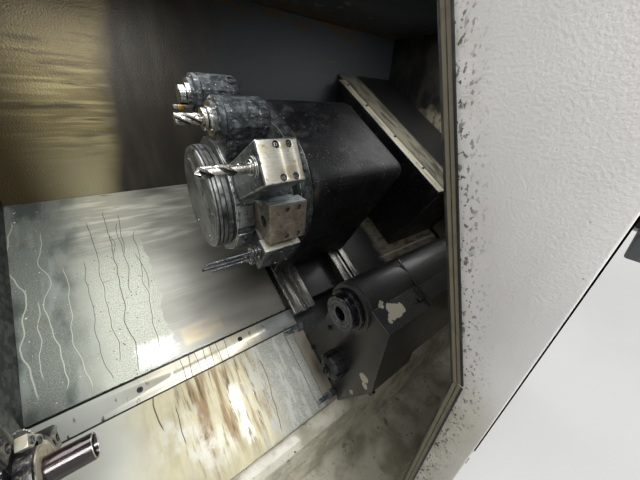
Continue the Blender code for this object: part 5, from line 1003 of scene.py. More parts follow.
def build_tool_blocks():
    # Four bolt pockets in each block's outer face hold a screw and are painted dark inside, as is the empty bore:
    # painted shade.
    # The face in towards, the one turned to the light, takes a paler finish than the other faces: painted light on it
    # and painted shade on the rest.
    pocket_radius, screw_radius, bore_out, bore_radius = 0.0058, 0.0040, 0.163, 0.013
    for node, finishes, station, towards, reach, span, half in (
            ("drill_block", ["black_steel", "edge", "bright_block", "painted_shade_groove"], "drill", [((0, 1, 0), 2)], 0.28,
            (-0.131, -0.060), 0.034),
            ("turning_block", ["brown_block", "bright_edge", "pale_block", "painted_shade_groove"], "turning",
            [((0, 0, -1), 2)], 0.19, (-0.090, -0.005), 0.041),
            ("gang_block", ["black_steel", "edge", "bright_block", "dark_turned"], "gang", [((0, 0, -1), 2)], 0.19,
            (-0.098, -0.010), 0.038)):
        turn = at_station(station).to_3x3()
        low = at_station(station) @ ALONG_X
        places = [facing((at_station(station), (span[0] + (span[1] - span[0]) * share, reach - 0.0068,
            side * half * 0.73)), (0, 1, 0)) for share in (0.46, 0.77) for side in (-1, 1)]
        where = [(place, lambda r, h: r < pocket_radius and -0.001 < h < 0.0064, 3) for place in places]
        if node == "gang_block":
            where.append((low, lambda r, x: x < -0.1195, 3))
        if node == "turning_block":
            where.append((at_station(station, 0, bore_out) @ ALONG_X, lambda r, x: r < bore_radius and x > -0.0895, 3))
        dressed(node, finishes, 0.0009, towards=[(turn @ Vector(direction), number) for direction, number in towards],
            where=where)
        screws(node + "_screws", "turret", places, screw_radius, 0.0052, "turned")
    shape = bmesh.new()
    spun(shape, [(0.0, -0.0102), (0.0095, -0.0102), (0.0095, -0.0050), (0.0085, -0.0040), (0.0, -0.0040)],
        at_station("gang", 0, 0.178, -0.018) @ ALONG_X, 28)
    for r, t in ((0.170, -0.020), (0.176, 0.002), (0.160, 0.022)):
        for back, front in ((-0.1005, -0.1055), (-0.1075, -0.1125), (-0.1145, -0.1190)):
            spun(shape, [(0.0, back), (0.0108, back), (0.0116, back - 0.0008), (0.0116, front + 0.0008),
                (0.0108, front), (0.0, front)], at_station("gang", 0, r, t) @ ALONG_X, 20)
    piece("gang_block_collets", shape, "turret", ["turned"], 30)


def build_round_holders():
    for name, node, span in (("live", "live_holder", (-0.147, -0.055)), ("boring", "boring_holder", (-0.150, -0.066))):
        shape = bmesh.new()
        left, right = span
        place = at_station(name, 0, HOLDER_OUT)
        loops_of(shape, [(0.028, left - 0.006, 40), (0.028, left, 40), (0.0330, left, 40), (0.0362, left + 0.0015, 40),
            (0.0362, left + 0.0085, 40), (0.0335, left + 0.0095, 40), (0.0335, left + 0.0120, 40),
            (0.0369, left + 0.0130, 10), (0.0369, right - 0.004, 10), (0.0325, right, 10)], place @ ALONG_X)
        slab(shape, (-0.090, 0.125, -0.030), (right if name == "boring" else -0.020, 0.160, 0.030), at_station(name),
            0.002)
        slab(shape, (left + 0.014, 0.147, -0.0335), (right, 0.206, 0.0335), at_station(name), 0.003)
        spun(shape, [(0.0, 0.0), (0.0084, 0.0), (0.0084, 0.0020), (0.0074, 0.0024), (0.0070, 0.0012), (0.0, 0.0012)],
            facing((place, (right - 0.0145, 0.0282, 0.0205)), (0, 0.809, 0.588)), 28)
        spun(shape, [(0.0, 0.0), (0.0030, 0.0), (0.0030, 0.0022), (0.0, 0.0022)],
            facing((place, (left + 0.030, 0.0345, 0.0)), (0, 1, 0)), 16)
        if name == "boring":
            spun(shape, [(0.0, left - 0.005), (0.0195, left - 0.005), (0.0205, left - 0.0065), (0.0205, left - 0.0105),
                (0.0165, left - 0.0125), (0.0165, left - 0.0215), (0.0150, left - 0.0225), (0.0, left - 0.0225)],
                place @ ALONG_X, 32)
        inlaid(shape, place @ ALONG_X, lambda r, x: x < left + 0.0009 and r > 0.0281, 1)
        inlaid(shape, facing((place, (right - 0.0145, 0.0282, 0.0205)), (0, 0.809, 0.588)),
            lambda r, h: r < 0.0073 and -0.001 < h < 0.004, 2)
        inlaid(shape, place @ ALONG_X, lambda r, x: x < left - 0.005 and r < 0.022, 3)
        instead(piece(name + "_tool_holder", shape, "turret", ["black_steel", "turned", "rubber", "chrome"], 28), node)
        places = round_places(place, 6, 20, [(left + 0.0002, 0.0312, 0)], (-1, 0, 0))
        screws(name + "_holder_screws", "turret", places, 0.0021, 0.0014, "turned")
    shape = bmesh.new()
    seat = at_station("boring", 0, HOLDER_OUT)
    slab(shape, (-0.1860, -0.0225, 0.0045), (-0.1560, -0.0160, 0.0120), seat, 0.0010)
    made = len(shape.faces)
    slab(shape, (-0.1790, -0.0235, 0.0120), (-0.1665, -0.0165, 0.0140), seat, 0.0006)
    shape.faces.ensure_lookup_table()
    for face in shape.faces[made:]:
        face.material_index = 1
    piece("boring_insert", shape, "turret", ["turned", "insert"], 30)


def build_cutting_tools():
    shape = bmesh.new()
    seat = at_station("live", 0, HOLDER_OUT)
    spun(shape, [(0.0, -0.1665), (0.0110, -0.1665), (0.0168, -0.1650), (0.0178, -0.1635), (0.0178, -0.1590),
        (0.0166, -0.1582), (0.0166, -0.1566), (0.0185, -0.1558), (0.0185, -0.1455), (0.0165, -0.1440), (0.0, -0.1440)],
        seat @ ALONG_X, 40)
    for i in range(6):
        slab(shape, (-0.1550, 0.0172, -0.0042), (-0.1470, 0.0194, 0.0042), rolled(seat, 60 * i), 0.0006)
    fluted = [(0.009 if i % 6 in (0, 1, 2) else (0.0056 if i % 6 == 4 else 0.0068),
        i * 2 * math.pi / 24) for i in range(24)]
    turned = seat @ Matrix.Rotation(-math.pi / 2, 4, "Y")
    twisted(shape, turned, fluted, 0.164, 0.205, 0.5)
    inlaid(shape, turned, lambda r, x: r < 0.0070 and 0.1668 < x < 0.2045, 1)
    inlaid(shape, turned, lambda r, x: 0.0160 < r < 0.0168 and 0.150 < x < 0.1600, 1)
    instead(piece("fluted_end_mill", shape, "mill", ["tool", "flute"], 30), "end_mill")
    shape = bmesh.new()
    bites = [(0.0085 if i % 12 in (0, 1, 2, 3, 4, 5, 6) else (0.0040 if i % 12 in (9,) else 0.0054),
        i * 2 * math.pi / 24) for i in range(24)]
    seat = at_station("drill", 0, 0.255, 0)
    turned = seat @ Matrix.Rotation(-math.pi / 2, 4, "Y")
    twisted(shape, turned, bites, 0.150, 0.209, 0.9, 0.006)
    spun(shape, [(0.0, -0.152), (0.0083, -0.152), (0.0083, -0.1385), (0.0118, -0.1378), (0.0128, -0.1366),
        (0.0128, -0.1315), (0.0, -0.1315)], seat @ ALONG_X, 32)
    inlaid(shape, turned, lambda r, x: r < 0.0062 and 0.1525 < x < 0.209, 1)
    instead(piece("fluted_twist_drill", shape, "turret", ["tool", "flute"], 30), "twist_drill")


def build_tailstock():
    dressed("tailstock_body", ["black_enamel", "bright_edge"], 0.0016)
    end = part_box("quill")[1].x - ORIGIN.x
    shape = bmesh.new()
    spun(shape, [(0.0, end), (0.0385, end), (0.0399, end - 0.0015), (0.0399, 0.0060), (0.0388, 0.0054),
        (0.0388, 0.0040), (0.0399, 0.0034), (0.0399, 0.0016), (0.0385, 0.0), (0.0335, 0.0), (0.0328, 0.0009),
        (0.0312, 0.0009), (0.0305, 0.0), (0.0245, 0.0), (0.0238, 0.0008), (0.0222, 0.0008), (0.0215, 0.0),
        (0.0178, 0.0), (0.0155, 0.0024), (0.0140, 0.060), (0.0, 0.060)], UPRIGHT @ ALONG_X)
    inlaid(shape, UPRIGHT @ ALONG_X, lambda r, x: x < 0.0006 or 0.0148 < r < 0.018 and x < 0.003, 1)
    instead(piece("turned_quill", shape, "tail_quill", ["dark_turned", "quill_face"], 30), "quill")
    shape = bmesh.new()
    spun(shape, [(0.0404, 0.0398), (0.0404, 0.0170), (0.0455, 0.0170), (0.0475, 0.0185), (0.0475, 0.0250),
        (0.0452, 0.0258), (0.0452, 0.0272), (0.0520, 0.0282), (0.0530, 0.0292), (0.0530, 0.0398), (0.0404, 0.0398)],
        UPRIGHT @ ALONG_X)
    for angle in (30, 150, 270):
        slab(shape, (0.0180, 0.0462, -0.0050), (0.0240, 0.0486, 0.0050), rolled(UPRIGHT, angle), 0.0005)
    piece("quill_wiper_collar", shape, "tailstock", ["gloss_black"], 30)
    dressed("clamp_knob", ["black_plastic", "black_edge"], 0.0022)
    seat = (SLOPE, (-0.0100, -0.086, -0.172))
    shape = bmesh.new()
    cap_screw(shape, facing(seat, (-1, 0, 0)), 0.0085, 0.0055)
    spun(shape, [(0.0, 0.0), (0.0150, 0.0), (0.0160, 0.0008), (0.0150, 0.0016), (0.0, 0.0016)],
        facing(seat, (-1, 0, 0)), 32)
    for angle in range(0, 360, 45):
        turn = rolled(shifted(SLOPE, (0.010, -0.086, -0.172)), angle)
        slab(shape, (-0.014, 0.0315, -0.0035), (0.022, 0.0342, 0.0035), turn, 0.0008)
    piece("knob_bolt_and_grips", shape, "knob", ["dark_turned"], 30)
    places = [shifted(SLOPE, (0.168, s, n)) for s, n in ((0.020, 0.0208), (-0.060, 0.0535))]
    places += [facing((SLOPE, (0.0398, s, n)), (-1, 0, 0)) for s, n in ((-0.005, -0.140), (-0.020, -0.290),
        (-0.150, -0.290))]
    screws("tailstock_screws", "tailstock", places, 0.0060, 0.0045, "dark_turned")
    shape = bmesh.new()
    cap_screw(shape, facing((SLOPE, (0.060, -0.1768, -0.150)), (0, -1, 0)), 0.0085, 0.010)
    cap_screw(shape, facing((SLOPE, (0.110, -0.1768, -0.180)), (0, -1, 0)), 0.0060, 0.007)
    slab(shape, (0.180, -0.0840, 0.0545), (0.186, 0.0400, 0.0580), SLOPE, 0.0008)
    piece("tailstock_clamp_screws", shape, "tailstock", ["gloss_black"], 30)


def build_chuck():
    along = UPRIGHT @ ALONG_X
    teeth = 48
    sector = math.radians(112)
    shape = bmesh.new()
    spun(shape, [(0.0165, -0.5618), (0.1035, -0.5618), (0.1049, -0.5600), (0.1049, -0.5400), (0.1025, -0.5385),
        (0.1025, -0.5350), (0.1049, -0.5335), (0.1049, -0.4930), (0.1019, -0.4900), (0.0720, -0.4900),
        (0.0700, -0.4890), (0.0550, -0.4890), (0.0550, -0.4640), (0.0530, -0.4620), (0.0440, -0.4620),
        (0.0420, -0.4640), (0.0165, -0.4640), (0.0165, -0.5618)], along)
    for i in range(teeth):
        slab(shape, (-0.4665, 0.0540, -0.0013), (-0.4622, 0.0556, 0.0013), rolled(UPRIGHT, 360 / teeth * i), 0.0003)
    inlaid(shape, along, lambda r, x: x > -0.4668 and r > 0.0541, 1)
    inlaid(shape, along, lambda r, x: x > -0.4645 and r < 0.0541, 2)
    instead(piece("turned_chuck_body", shape, "main_spindle", ["chuck_black", "bright_edge", "chuck_black"], 30),
        "chuck_body")
    for node in ("jaw_1", "jaw_2", "jaw_3"):
        dressed(node, ["jaw", "jaw"], 0.0008)
        # A thin lipped ring sector on each jaw: together they ring the tube, with a gap between each two.
        shape = bmesh.new()
        outline = [(0.0178, -0.4560), (0.0178, -0.4515), (0.0280, -0.4515), (0.0290, -0.4470), (0.0300, -0.4462),
            (0.0330, -0.4462), (0.0340, -0.4472), (0.0340, -0.4560)]
        face = shape.faces.new([shape.verts.new((radius, 0, height)) for radius, height in outline])
        bmesh.ops.spin(shape, geom=[face, *face.edges, *face.verts], cent=(0, 0, 0), axis=(0, 0, 1), angle=sector,
            steps=26)
        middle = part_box(node)[0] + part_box(node)[1] - 2 * ORIGIN
        around = math.atan2(middle.y, -middle.z) - sector / 2
        bmesh.ops.transform(shape, matrix=along @ Matrix.Rotation(around, 4, "Z"), verts=shape.verts)
        piece(node + "_bored_sector", shape, body_of(node), ["jaw"], 30)
    shape = bmesh.new()
    block = rolled(shifted(UPRIGHT, (-0.4540, 0.0186, 0.0360)), -62)
    slab(shape, (-0.0040, -0.0180, -0.0070), (0.0070, 0.0180, 0.0070), block, 0.0008)
    piece("jaw_clamp_block", shape, "jaw_up", ["bright_block"], 20)
    screws("jaw_clamp_screws", "jaw_up", [facing((block, (0.0070, y, 0)), (1, 0, 0)) for y in (-0.009, 0.009)], 0.0046,
        0.0016)
    dressed("workpiece_tube", ["mill_scale", "edge"], 0.0006, where=[(along, lambda r, x: x > -0.4034, 1)])


def build_drive():
    dressed("headstock_casting", ["black_enamel", "enamel_edge"], 0.003)
    dressed("bed_casting", ["casting", "casting"], 0.004)
    dressed("spindle_motor", ["trim"], 0.003)
    dressed("spindle", ["dark_turned"], 0.001)
    dressed("clamping_cylinder", ["turned"], 0.0015)


def build_door():
    size = sizes()
    dressed("door_shell", ["door", "door"], 0.0018, 34, 3)
    dressed("door_window", ["smoked"], 0.0008)
    dressed("door_handle", ["dark_turned"], 0.0012)
    bands = {"rubber": ((0.0, 0.16, 0.0020), (0.84, 1.0, 0.0020), (0.48, 0.54, 0.0016)),
        "felt": ((0.16, 0.48, 0.0012), (0.54, 0.84, 0.0012))}
    for finish_name, strips in bands.items():
        shape = bmesh.new()
        for near, far, rise in strips:
            path = [(-0.24, -0.445), (-0.24, 0.129), (-0.058, 0.644)]
            for (y0, z0), (y1, z1) in zip(path, path[1:]):
                along = Vector((0, y1 - y0, z1 - z0))
                side = Vector((0, along.z, -along.y)).normalized() * -size.seal_width
                start, end = Vector((-0.055, y0, z0)), Vector((-0.055, y1, z1))
                corners = [start + side * near, end + side * near, end + side * far, start + side * far]
                face = shape.faces.new([shape.verts.new(UPRIGHT @ corner) for corner in corners])
                grown = bmesh.ops.extrude_face_region(shape, geom=[face])
                bmesh.ops.translate(shape, vec=(-rise, 0, 0), verts=verts_of(grown))
        piece("door_seal_" + finish_name, shape, "front_door", [finish_name])
    low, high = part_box("door_window")
    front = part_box("door_shell")[0].y
    shape = bmesh.new()
    corners = [Vector((x, front + 0.0002, z)) for x, z in ((low.x - 0.016, low.z - 0.016),
        (high.x + 0.016, low.z - 0.016), (high.x + 0.016, high.z + 0.016), (low.x - 0.016, high.z + 0.016))]
    frame_of(shape, corners, 0.024, 0.0030, (0, -1, 0))
    piece("window_gasket", shape, "front_door", ["rubber"], 20)
    places = [facing((Matrix(), (x, front - 0.0002, z)), (0, -1, 0)) for x in (low.x - 0.030, (low.x + high.x) / 2,
        high.x + 0.030) for z in (low.z - 0.030, high.z + 0.030)]
    screws("door_screws", "front_door", places, 0.0055, 0.0022, "turned")
    shape = bmesh.new()
    grip_low, grip_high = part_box("door_handle")
    for z in (grip_low.z + 0.022, grip_high.z - 0.022):
        spun(shape, [(0.0, 0.0), (0.0190, 0.0), (0.0195, 0.0010), (0.0190, 0.0035), (0.0125, 0.0050), (0.0, 0.0050)],
            facing((Matrix(), ((grip_low.x + grip_high.x) / 2, front, z)), (0, -1, 0)), 32)
    piece("handle_roses", shape, "front_door", ["turned"], 30)


def build_enclosure():
    size = sizes()
    dressed("left_cover", ["shell", "shell"], size.cover_radius, 34, 3)
    dressed("right_cover", ["shell", "shell"], size.cover_radius, 34, 3, pressed=[((1, 0, 0), 0.09, 0.004)])
    dressed("front_left_cover", ["shell", "shell"], size.cover_radius, 34, 3, pressed=[((0, -1, 0), 0.05, 0.003)])
    dressed("front_right_cover", ["shell", "shell"], size.cover_radius, 34, 3)
    dressed("front_apron", ["trim", "trim"], 0.003)
    for i in range(1, 5):
        dressed("levelling_foot_%d" % i, ["turned"], 0.0012)
        low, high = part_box("levelling_foot_%d" % i)
        shape = bmesh.new()
        middle = Matrix.Translation(((low.x + high.x) / 2, (low.y + high.y) / 2, 0))
        loops_of(shape, [(0.027, high.z - 0.030, 6), (0.029, high.z - 0.028, 6), (0.029, high.z - 0.014, 6),
            (0.027, high.z - 0.012, 6)], middle)
        piece("foot_nut_%d" % i, shape, "machine", ["turned"], 30)
    build_tank_fittings()
    build_vents()
    build_signal_lamp()


def build_tank_fittings():
    dressed("coolant_tank", ["tank", "tank"], 0.002)
    low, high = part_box("coolant_tank")
    shape = bmesh.new()
    for x in (low.x + 0.22, high.x - 0.22):
        for side in (-0.055, 0.055):
            spun(shape, [(0.0, 0.0), (0.0110, 0.0), (0.0110, 0.003), (0.0, 0.003)],
                facing((Matrix(), (x + side, low.y + 0.0002, (low.z + high.z) / 2)), (0, -1, 0)), 20)
        slab(shape, (x - 0.060, low.y - 0.0085, (low.z + high.z) / 2 - 0.006),
            (x + 0.060, low.y - 0.0025, (low.z + high.z) / 2 + 0.006), Matrix(), 0.0022)
    piece("tank_pulls", shape, "tank", ["turned"], 30)


def build_vents():
    """Punched vent slots and screws of the outer covers."""
    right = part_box("right_cover")[1]
    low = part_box("right_cover")[0]
    shape = bmesh.new()
    for row in range(9):
        for column in range(3):
            y, z = low.y + 0.30 + column * 0.16, low.z + 0.24 + row * 0.030
            slab(shape, (right.x - 0.0050, y, z), (right.x - 0.0034, y + 0.125, z + 0.012), Matrix(), 0.0006)
    piece("right_cover_vents", shape, "machine", ["vent"], 30)
    places = [facing((Matrix(), (right.x - 0.0042, y, z)), (1, 0, 0)) for y in (low.y + 0.115,
        right.y - 0.115) for z in (low.z + 0.115, (low.z + right.z) / 2, right.z - 0.115)]
    screws("right_cover_screws", "machine", places, 0.0055, 0.0022, "turned")
    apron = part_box("front_apron")
    places = [facing((Matrix(), (x, apron[0].y + 0.0020, z)), (0, -1, 0)) for x in (apron[0].x + 0.06,
        apron[0].x + 0.60, apron[1].x - 0.60, apron[1].x - 0.06) for z in (apron[0].z + 0.05, apron[1].z - 0.05)]
    screws("apron_screws", "machine", places, 0.0055, 0.0022, "turned")


def build_signal_lamp():
    low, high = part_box("signal_lamp")
    place = Matrix.Translation(((low.x + high.x) / 2, (low.y + high.y) / 2, 0))
    top, tier = high.z, 0.045
    foot = low.z
    profile = [(0.0, foot), (0.026, foot), (0.026, foot + 0.006), (0.012, foot + 0.010),
        (0.011, top - 3 * tier - 0.008), (0.0272, top - 3 * tier - 0.004)]
    for i in (3, 2, 1):
        base = top - i * tier
        profile += [(0.0278, base), (0.0250, base + 0.001), (0.0250, base + 0.003), (0.0278, base + 0.004),
            (0.0280, base + 0.012), (0.0272, base + 0.022), (0.0280, base + 0.032), (0.0278, base + tier - 0.006)]
    profile += [(0.0262, top - 0.002), (0.0180, top), (0.0, top)]
    shape = bmesh.new()
    spun(shape, profile, place, 48)
    for i, number in ((3, 1), (2, 2), (1, 3)):
        base = top - i * tier
        inlaid(shape, place, lambda r, z: base + 0.0035 < z < base + tier - 0.0055 and r > 0.02, number)
    instead(piece("three_tier_signal_lamp", shape, "machine", ["black_plastic", "green_plastic", "amber_plastic",
        "red_plastic"], 30), "signal_lamp")


def build_cabinet():
    dressed("rear_cabinet", ["cabinet", "cabinet"], 0.003)
    dressed("cabinet_door", ["cabinet", "trim"], 0.0022, pressed=[((0, 1, 0), 0.045, 0.006)])
    low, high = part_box("cabinet_door")
    plate = high.y - 0.006
    shape = bmesh.new()
    for z0 in (low.z + 0.12, high.z - 0.34):
        for row in range(10):
            slab(shape, (high.x - 0.42, plate - 0.002, z0 + row * 0.021),
                (high.x - 0.12, plate + 0.0012, z0 + row * 0.021 + 0.009), Matrix(), 0.0010)
    piece("cabinet_vents", shape, "rear_door", ["vent"], 30)
    shape = bmesh.new()
    seat = facing((Matrix(), (high.x - 0.085, plate, (low.z + high.z) / 2)), (0, 1, 0))
    spun(shape, [(0.0, -0.001), (0.0300, -0.001), (0.0305, 0.0005), (0.0290, 0.0018), (0.0, 0.0018)], seat, 40)
    slab(shape, (-0.010, -0.045, 0.0012), (0.010, 0.045, 0.0054), seat, 0.0016)
    piece("cabinet_latch", shape, "rear_door", ["black_plastic"], 30)


def build_control_panel():
    dressed("operator_panel", ["trim", "trim"], 0.004, 34, 3)
    low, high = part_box("operator_panel")
    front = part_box("handwheel")[1].y
    left, right, top = low.x, low.x + 0.335, high.z
    shape = bmesh.new()
    corners = [Vector((x, front, z)) for x, z in ((left + 0.029, top - 0.231), (right - 0.029, top - 0.231),
        (right - 0.029, top - 0.029), (left + 0.029, top - 0.029))]
    frame_of(shape, corners, 0.010, 0.0020, (0, -1, 0))
    piece("screen_bezel", shape, "panel", ["black_plastic"], 20)
    shape = bmesh.new()
    slab(shape, (left + 0.034, front + 0.0022, top - 0.226), (right - 0.034, front + 0.0044, top - 0.034), Matrix(),
        0.0006)
    piece("screen_glass", shape, "panel", ["display"], 30)
    for tone, rows in (("grey_plastic", ((0, 9), (1, 9))), ("black_plastic", ((2, 9),))):
        shape = bmesh.new()
        for row, count in rows:
            for column in range(count):
                x, z = left + 0.034 + column * 0.0302, top - 0.262 - row * 0.026
                slab(shape, (x, front - 0.0030, z - 0.009), (x + 0.0235, front + 0.0004, z + 0.009), Matrix(), 0.0022)
        piece("panel_keys_" + tone.split("_")[0], shape, "panel", [tone], 30)
    a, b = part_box("emergency_stop")
    seat = facing((Matrix(), ((a.x + b.x) / 2, front, (a.z + b.z) / 2)), (0, -1, 0))
    shape = bmesh.new()
    spun(shape, [(0.0, 0.0), (0.0290, 0.0), (0.0295, 0.0008), (0.0290, 0.0016), (0.0, 0.0016)], seat, 40)
    piece("stop_collar", shape, "panel", ["yellow_plastic"], 30)
    depth, radius = front - a.y, (b.x - a.x) / 2
    shape = bmesh.new()
    spun(shape, [(0.0, front - b.y), (0.0125, front - b.y), (0.0125, depth * 0.36), (radius * 0.93, depth * 0.40),
        (radius, depth * 0.50), (radius, depth * 0.70), (radius * 0.93, depth * 0.88), (radius * 0.72, depth * 0.98),
        (radius * 0.4, depth), (0.0, depth)], seat, 48)
    instead(piece("mushroom_stop_button", shape, "stop", ["red_plastic"], 40), "emergency_stop")
    a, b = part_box("start_button")
    seat = facing((Matrix(), ((a.x + b.x) / 2, front, (a.z + b.z) / 2)), (0, -1, 0))
    shape = bmesh.new()
    spun(shape, [(0.0118, 0.0), (0.0160, 0.0), (0.0165, 0.0010), (0.0160, 0.0050), (0.0150, 0.0060), (0.0125, 0.0060),
        (0.0118, 0.0050), (0.0118, 0.0)], seat, 40)
    piece("start_ring", shape, "panel", ["turned"], 30)
    dressed("start_button", ["green_plastic"], 0.001)
    a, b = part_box("handwheel")
    seat = facing((Matrix(), ((a.x + b.x) / 2, front, (a.z + b.z) / 2)), (0, -1, 0))
    radius, depth = (b.x - a.x) / 2, front - a.y
    shape = bmesh.new()
    spun(shape, [(0.0, 0.0004), (radius * 0.96, 0.0004), (radius, 0.0020), (radius, depth * 0.30),
        (radius * 0.97, depth * 0.36), (radius * 0.80, depth * 0.38), (radius * 0.76, depth * 0.30),
        (radius * 0.42, depth * 0.30), (radius * 0.36, depth * 0.42), (0.0, depth * 0.42)], seat, 56)
    for i in range(50):
        turn = seat @ Matrix.Rotation(math.radians(7.2 * i), 4, "Z")
        slab(shape, (radius * 0.86, -0.0004, depth * 0.37), (radius * 0.95, 0.0004, depth * 0.39), turn)
    inlaid(shape, seat, lambda r, h: h > depth * 0.388 and r > radius * 0.8, 1)
    spun(shape, [(0.0, depth * 0.30), (0.0070, depth * 0.30), (0.0070, depth * 0.40), (0.0058, depth * 0.48),
        (0.0068, depth * 0.90), (0.0060, depth * 0.99), (0.0, depth)],
        seat @ Matrix.Translation((0, radius * 0.60, 0)), 28)
    instead(piece("crank_handwheel", shape, "wheel", ["black_plastic", "turned"], 35), "handwheel")


# The photograph's camera, solved from its lines: focal length and width in pixels, place from the origin in metres.
FOCAL_PIXELS = 262
PICTURE_WIDTH = 640
SENSOR_WIDTH = 36
CAMERA_PLACE = (-0.295, -0.286, 0.3995)
WORLD_STRENGTH = 0.36
# Name, place and target from the origin in metres, width in metres, power in watts.
LAMPS = (
    ("doorway_light", (-0.25, -1.2, 1.65), (-0.25, 0.25, -0.1), 0.8, 36),
    ("chamber_light", (-0.30, 0.32, 0.60), (-0.30, 0.38, 0), 0.4, 3.3),
    ("right_chamber_light", (0.70, 0.16, 0.61), (0.66, 0.26, 0), 0.4, 2.0),
    ("front_light", (1.6, -3.4, 2.2), (0, 0, 0), 2.4, 70),
    ("left_light", (-3.6, -1.2, 2.4), (0, 0, 0), 2.4, 54),
    ("back_light", (0.6, 3.8, 2.4), (0, 0, 0), 2.4, 84),
)


def build_stage():
    scene = bpy.context.scene
    shape = bmesh.new()
    bmesh.ops.create_grid(shape, x_segments=1, y_segments=1, size=14)
    mesh = bpy.data.meshes.new("floor")
    shape.to_mesh(mesh)
    shape.free()
    # The far floor turns into the backdrop's own colour; close by it is matt and keeps the shadow.
    f = Finish("Pale studio floor")
    away = f.put("VectorMath", {"operation": "LENGTH"}, {0: f.put("Mapping", {},
        {0: f.place, 3: (1, 1, 0)})[0]})["Value"]
    far = f.put("MapRange", SMOOTH, {0: away, 1: 1.8, 2: 6.0, 3: 0.35, 4: 1.0})[0]
    seen = f.put("LightPath", {}, {})
    direct = f.put("Math", {"operation": "ADD", "use_clamp": True}, {0: f.either(seen["Is Camera Ray"],
        seen["Is Glossy Ray"]), 1: seen["Is Transmission Ray"]})[0]
    tone = f.layers("#dededc", ("#d6d6d3", f.grain(0.8, 0.4, 0.7)))
    matt = f.put("BsdfPrincipled", {}, {"Base Color": tone, "Roughness": 0.8})[0]
    glow = f.put("Emission", {}, {"Color": linear("#e6e6e4"), "Strength": 1.0})[0]
    mixed = f.put("MixShader", {}, {0: f.both(far, direct), 1: matt, 2: glow})[0]
    f.put("OutputMaterial", {}, {"Surface": mixed})
    mesh.materials.append(f.material)
    floor = bpy.data.objects.new("floor", mesh)
    scene.collection.objects.link(floor)
    world = bpy.data.worlds.new("studio")
    scene.world = world
    world.use_nodes = True
    nodes, links = world.node_tree.nodes, world.node_tree.links
    nodes.clear()
    seen = nodes.new("ShaderNodeLightPath")
    plain = nodes.new("ShaderNodeBackground")
    plain.inputs[0].default_value = (1, 1, 1, 1)
    plain.inputs[1].default_value = WORLD_STRENGTH
    pale = nodes.new("ShaderNodeBackground")
    pale.inputs[0].default_value = linear("#e6e6e4")
    pale.inputs[1].default_value = 1.0
    either = [nodes.new("ShaderNodeMath") for _ in range(2)]
    for node in either:
        node.operation = "MAXIMUM"
    mixed = nodes.new("ShaderNodeMixShader")
    end = nodes.new("ShaderNodeOutputWorld")
    links.new(seen.outputs["Is Camera Ray"], either[0].inputs[0])
    links.new(seen.outputs["Is Glossy Ray"], either[0].inputs[1])
    links.new(either[0].outputs[0], either[1].inputs[0])
    links.new(seen.outputs["Is Transmission Ray"], either[1].inputs[1])
    links.new(either[1].outputs[0], mixed.inputs[0])
    links.new(plain.outputs[0], mixed.inputs[1])
    links.new(pale.outputs[0], mixed.inputs[2])
    links.new(mixed.outputs[0], end.inputs[0])
    for name, place, target, wide, power in LAMPS:
        lamp = bpy.data.lights.new(name, "AREA")
        lamp.size = wide
        lamp.energy = power
        holder = bpy.data.objects.new(name, lamp)
        holder.location = Vector(place) + ORIGIN
        holder.rotation_euler = (Vector(target) - Vector(place)).to_track_quat("-Z", "Y").to_euler()
        scene.collection.objects.link(holder)
    lens = bpy.data.cameras.new("photo_camera")
    lens.sensor_width = SENSOR_WIDTH
    lens.lens = FOCAL_PIXELS / PICTURE_WIDTH * SENSOR_WIDTH
    lens.clip_start = 0.01
    camera = bpy.data.objects.new("photo_camera", lens)
    right, up, ahead = Vector((0.7967, -0.6015, 0.0578)), Vector((0.2516, 0.4171, 0.8736)), Vector((0.5495, 0.6815,
        -0.4836))
    camera.matrix_world = Matrix.Translation(ORIGIN + Vector(CAMERA_PLACE)) @ Matrix((right, up,
        -ahead)).transposed().to_4x4()
    scene.collection.objects.link(camera)
    scene.camera = camera
    scene.view_settings.view_transform = "Standard"


# ---------------------------------------------------------------- add-on

class LATHE_OT_stage(bpy.types.Operator):
    """Floor, lamps, world and the photograph's camera"""
    bl_idname = "lathe.stage"
    bl_label = "Stage"

    def execute(self, context):
        build_stage()
        return {"FINISHED"}


class LATHE_OT_way_covers(bpy.types.Operator):
    """Sheets over the ways, their strip, clips and the chip pan"""
    bl_idname = "lathe.way_covers"
    bl_label = "Way covers"

    def execute(self, context):
        build_way_covers()
        return {"FINISHED"}


class LATHE_OT_chamber(bpy.types.Operator):
    """Inner walls, roof, guard and work light"""
    bl_idname = "lathe.chamber"
    bl_label = "Chamber"

    def execute(self, context):
        build_chamber()
        return {"FINISHED"}


class LATHE_OT_slides(bpy.types.Operator):
    """Guides, rails, saddle, turret housing and ball screw"""
    bl_idname = "lathe.slides"
    bl_label = "Slides"

    def execute(self, context):
        build_slides()
        return {"FINISHED"}


class LATHE_OT_turret(bpy.types.Operator):
    """The turret's drum, cap and their screws"""
    bl_idname = "lathe.turret"
    bl_label = "Turret"

    def execute(self, context):
        build_turret()
        return {"FINISHED"}


class LATHE_OT_tool_blocks(bpy.types.Operator):
    """Square tool blocks on the turret"""
    bl_idname = "lathe.tool_blocks"
    bl_label = "Tool blocks"

    def execute(self, context):
        build_tool_blocks()
        return {"FINISHED"}


class LATHE_OT_round_holders(bpy.types.Operator):
    """Live and boring tool holders"""
    bl_idname = "lathe.round_holders"
    bl_label = "Round holders"

    def execute(self, context):
        build_round_holders()
        return {"FINISHED"}


class LATHE_OT_cutting_tools(bpy.types.Operator):
    """End mill and twist drill"""
    bl_idname = "lathe.cutting_tools"
    bl_label = "Cutting tools"

    def execute(self, context):
        build_cutting_tools()
        return {"FINISHED"}


class LATHE_OT_tailstock(bpy.types.Operator):
    """Tailstock, quill and clamp knob"""
    bl_idname = "lathe.tailstock"
    bl_label = "Tailstock"

    def execute(self, context):
        build_tailstock()
        return {"FINISHED"}


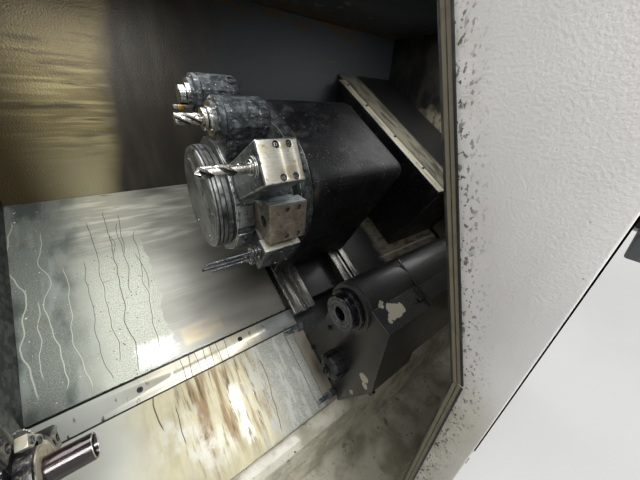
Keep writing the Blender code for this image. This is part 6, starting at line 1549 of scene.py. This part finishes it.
class LATHE_OT_chuck(bpy.types.Operator):
    """Chuck, jaws and the clamped tube"""
    bl_idname = "lathe.chuck"
    bl_label = "Chuck"

    def execute(self, context):
        build_chuck()
        return {"FINISHED"}


class LATHE_OT_drive(bpy.types.Operator):
    """Bed, headstock, spindle and motor"""
    bl_idname = "lathe.drive"
    bl_label = "Bed and drive"

    def execute(self, context):
        build_drive()
        return {"FINISHED"}


class LATHE_OT_door(bpy.types.Operator):
    """Sliding front door with its window, handle and wiper seal"""
    bl_idname = "lathe.door"
    bl_label = "Front door"

    def execute(self, context):
        build_door()
        return {"FINISHED"}


class LATHE_OT_enclosure(bpy.types.Operator):
    """Outer covers, apron, feet, coolant tank and signal lamp"""
    bl_idname = "lathe.enclosure"
    bl_label = "Enclosure"

    def execute(self, context):
        build_enclosure()
        return {"FINISHED"}


class LATHE_OT_cabinet(bpy.types.Operator):
    """Electrical cabinet at the back"""
    bl_idname = "lathe.cabinet"
    bl_label = "Rear cabinet"

    def execute(self, context):
        build_cabinet()
        return {"FINISHED"}


class LATHE_OT_control_panel(bpy.types.Operator):
    """Swivelling control panel"""
    bl_idname = "lathe.control_panel"
    bl_label = "Control panel"

    def execute(self, context):
        build_control_panel()
        return {"FINISHED"}


OPERATORS = (LATHE_OT_stage, LATHE_OT_way_covers, LATHE_OT_chamber, LATHE_OT_slides, LATHE_OT_turret,
    LATHE_OT_tool_blocks, LATHE_OT_round_holders, LATHE_OT_cutting_tools, LATHE_OT_tailstock, LATHE_OT_chuck,
    LATHE_OT_drive, LATHE_OT_door, LATHE_OT_enclosure, LATHE_OT_cabinet, LATHE_OT_control_panel)


class LATHE_PT_pieces(bpy.types.Panel):
    """Lists the lathe's sizes, colours and pieces"""
    bl_label = "Turning lathe"
    bl_space_type = "VIEW_3D"
    bl_region_type = "UI"
    bl_category = "Lathe"

    def draw(self, context):
        for group in (context.scene.lathe_sizes, context.scene.lathe_colours):
            column = self.layout.column()
            for name in group.__annotations__:
                column.prop(group, name)
        for operator in OPERATORS:
            self.layout.operator(operator.bl_idname)


CLASSES = (LatheSizes, LatheColours, *OPERATORS, LATHE_PT_pieces)


def register():
    for item in CLASSES:
        bpy.utils.register_class(item)
    bpy.types.Scene.lathe_sizes = PointerProperty(type=LatheSizes)
    bpy.types.Scene.lathe_colours = PointerProperty(type=LatheColours)


def unregister():
    del bpy.types.Scene.lathe_colours
    del bpy.types.Scene.lathe_sizes
    for item in reversed(CLASSES):
        bpy.utils.unregister_class(item)


def main():
    register()
    for operator in OPERATORS:
        getattr(bpy.ops.lathe, operator.bl_idname.split(".")[1])()


if __name__ == "__main__":
    main()
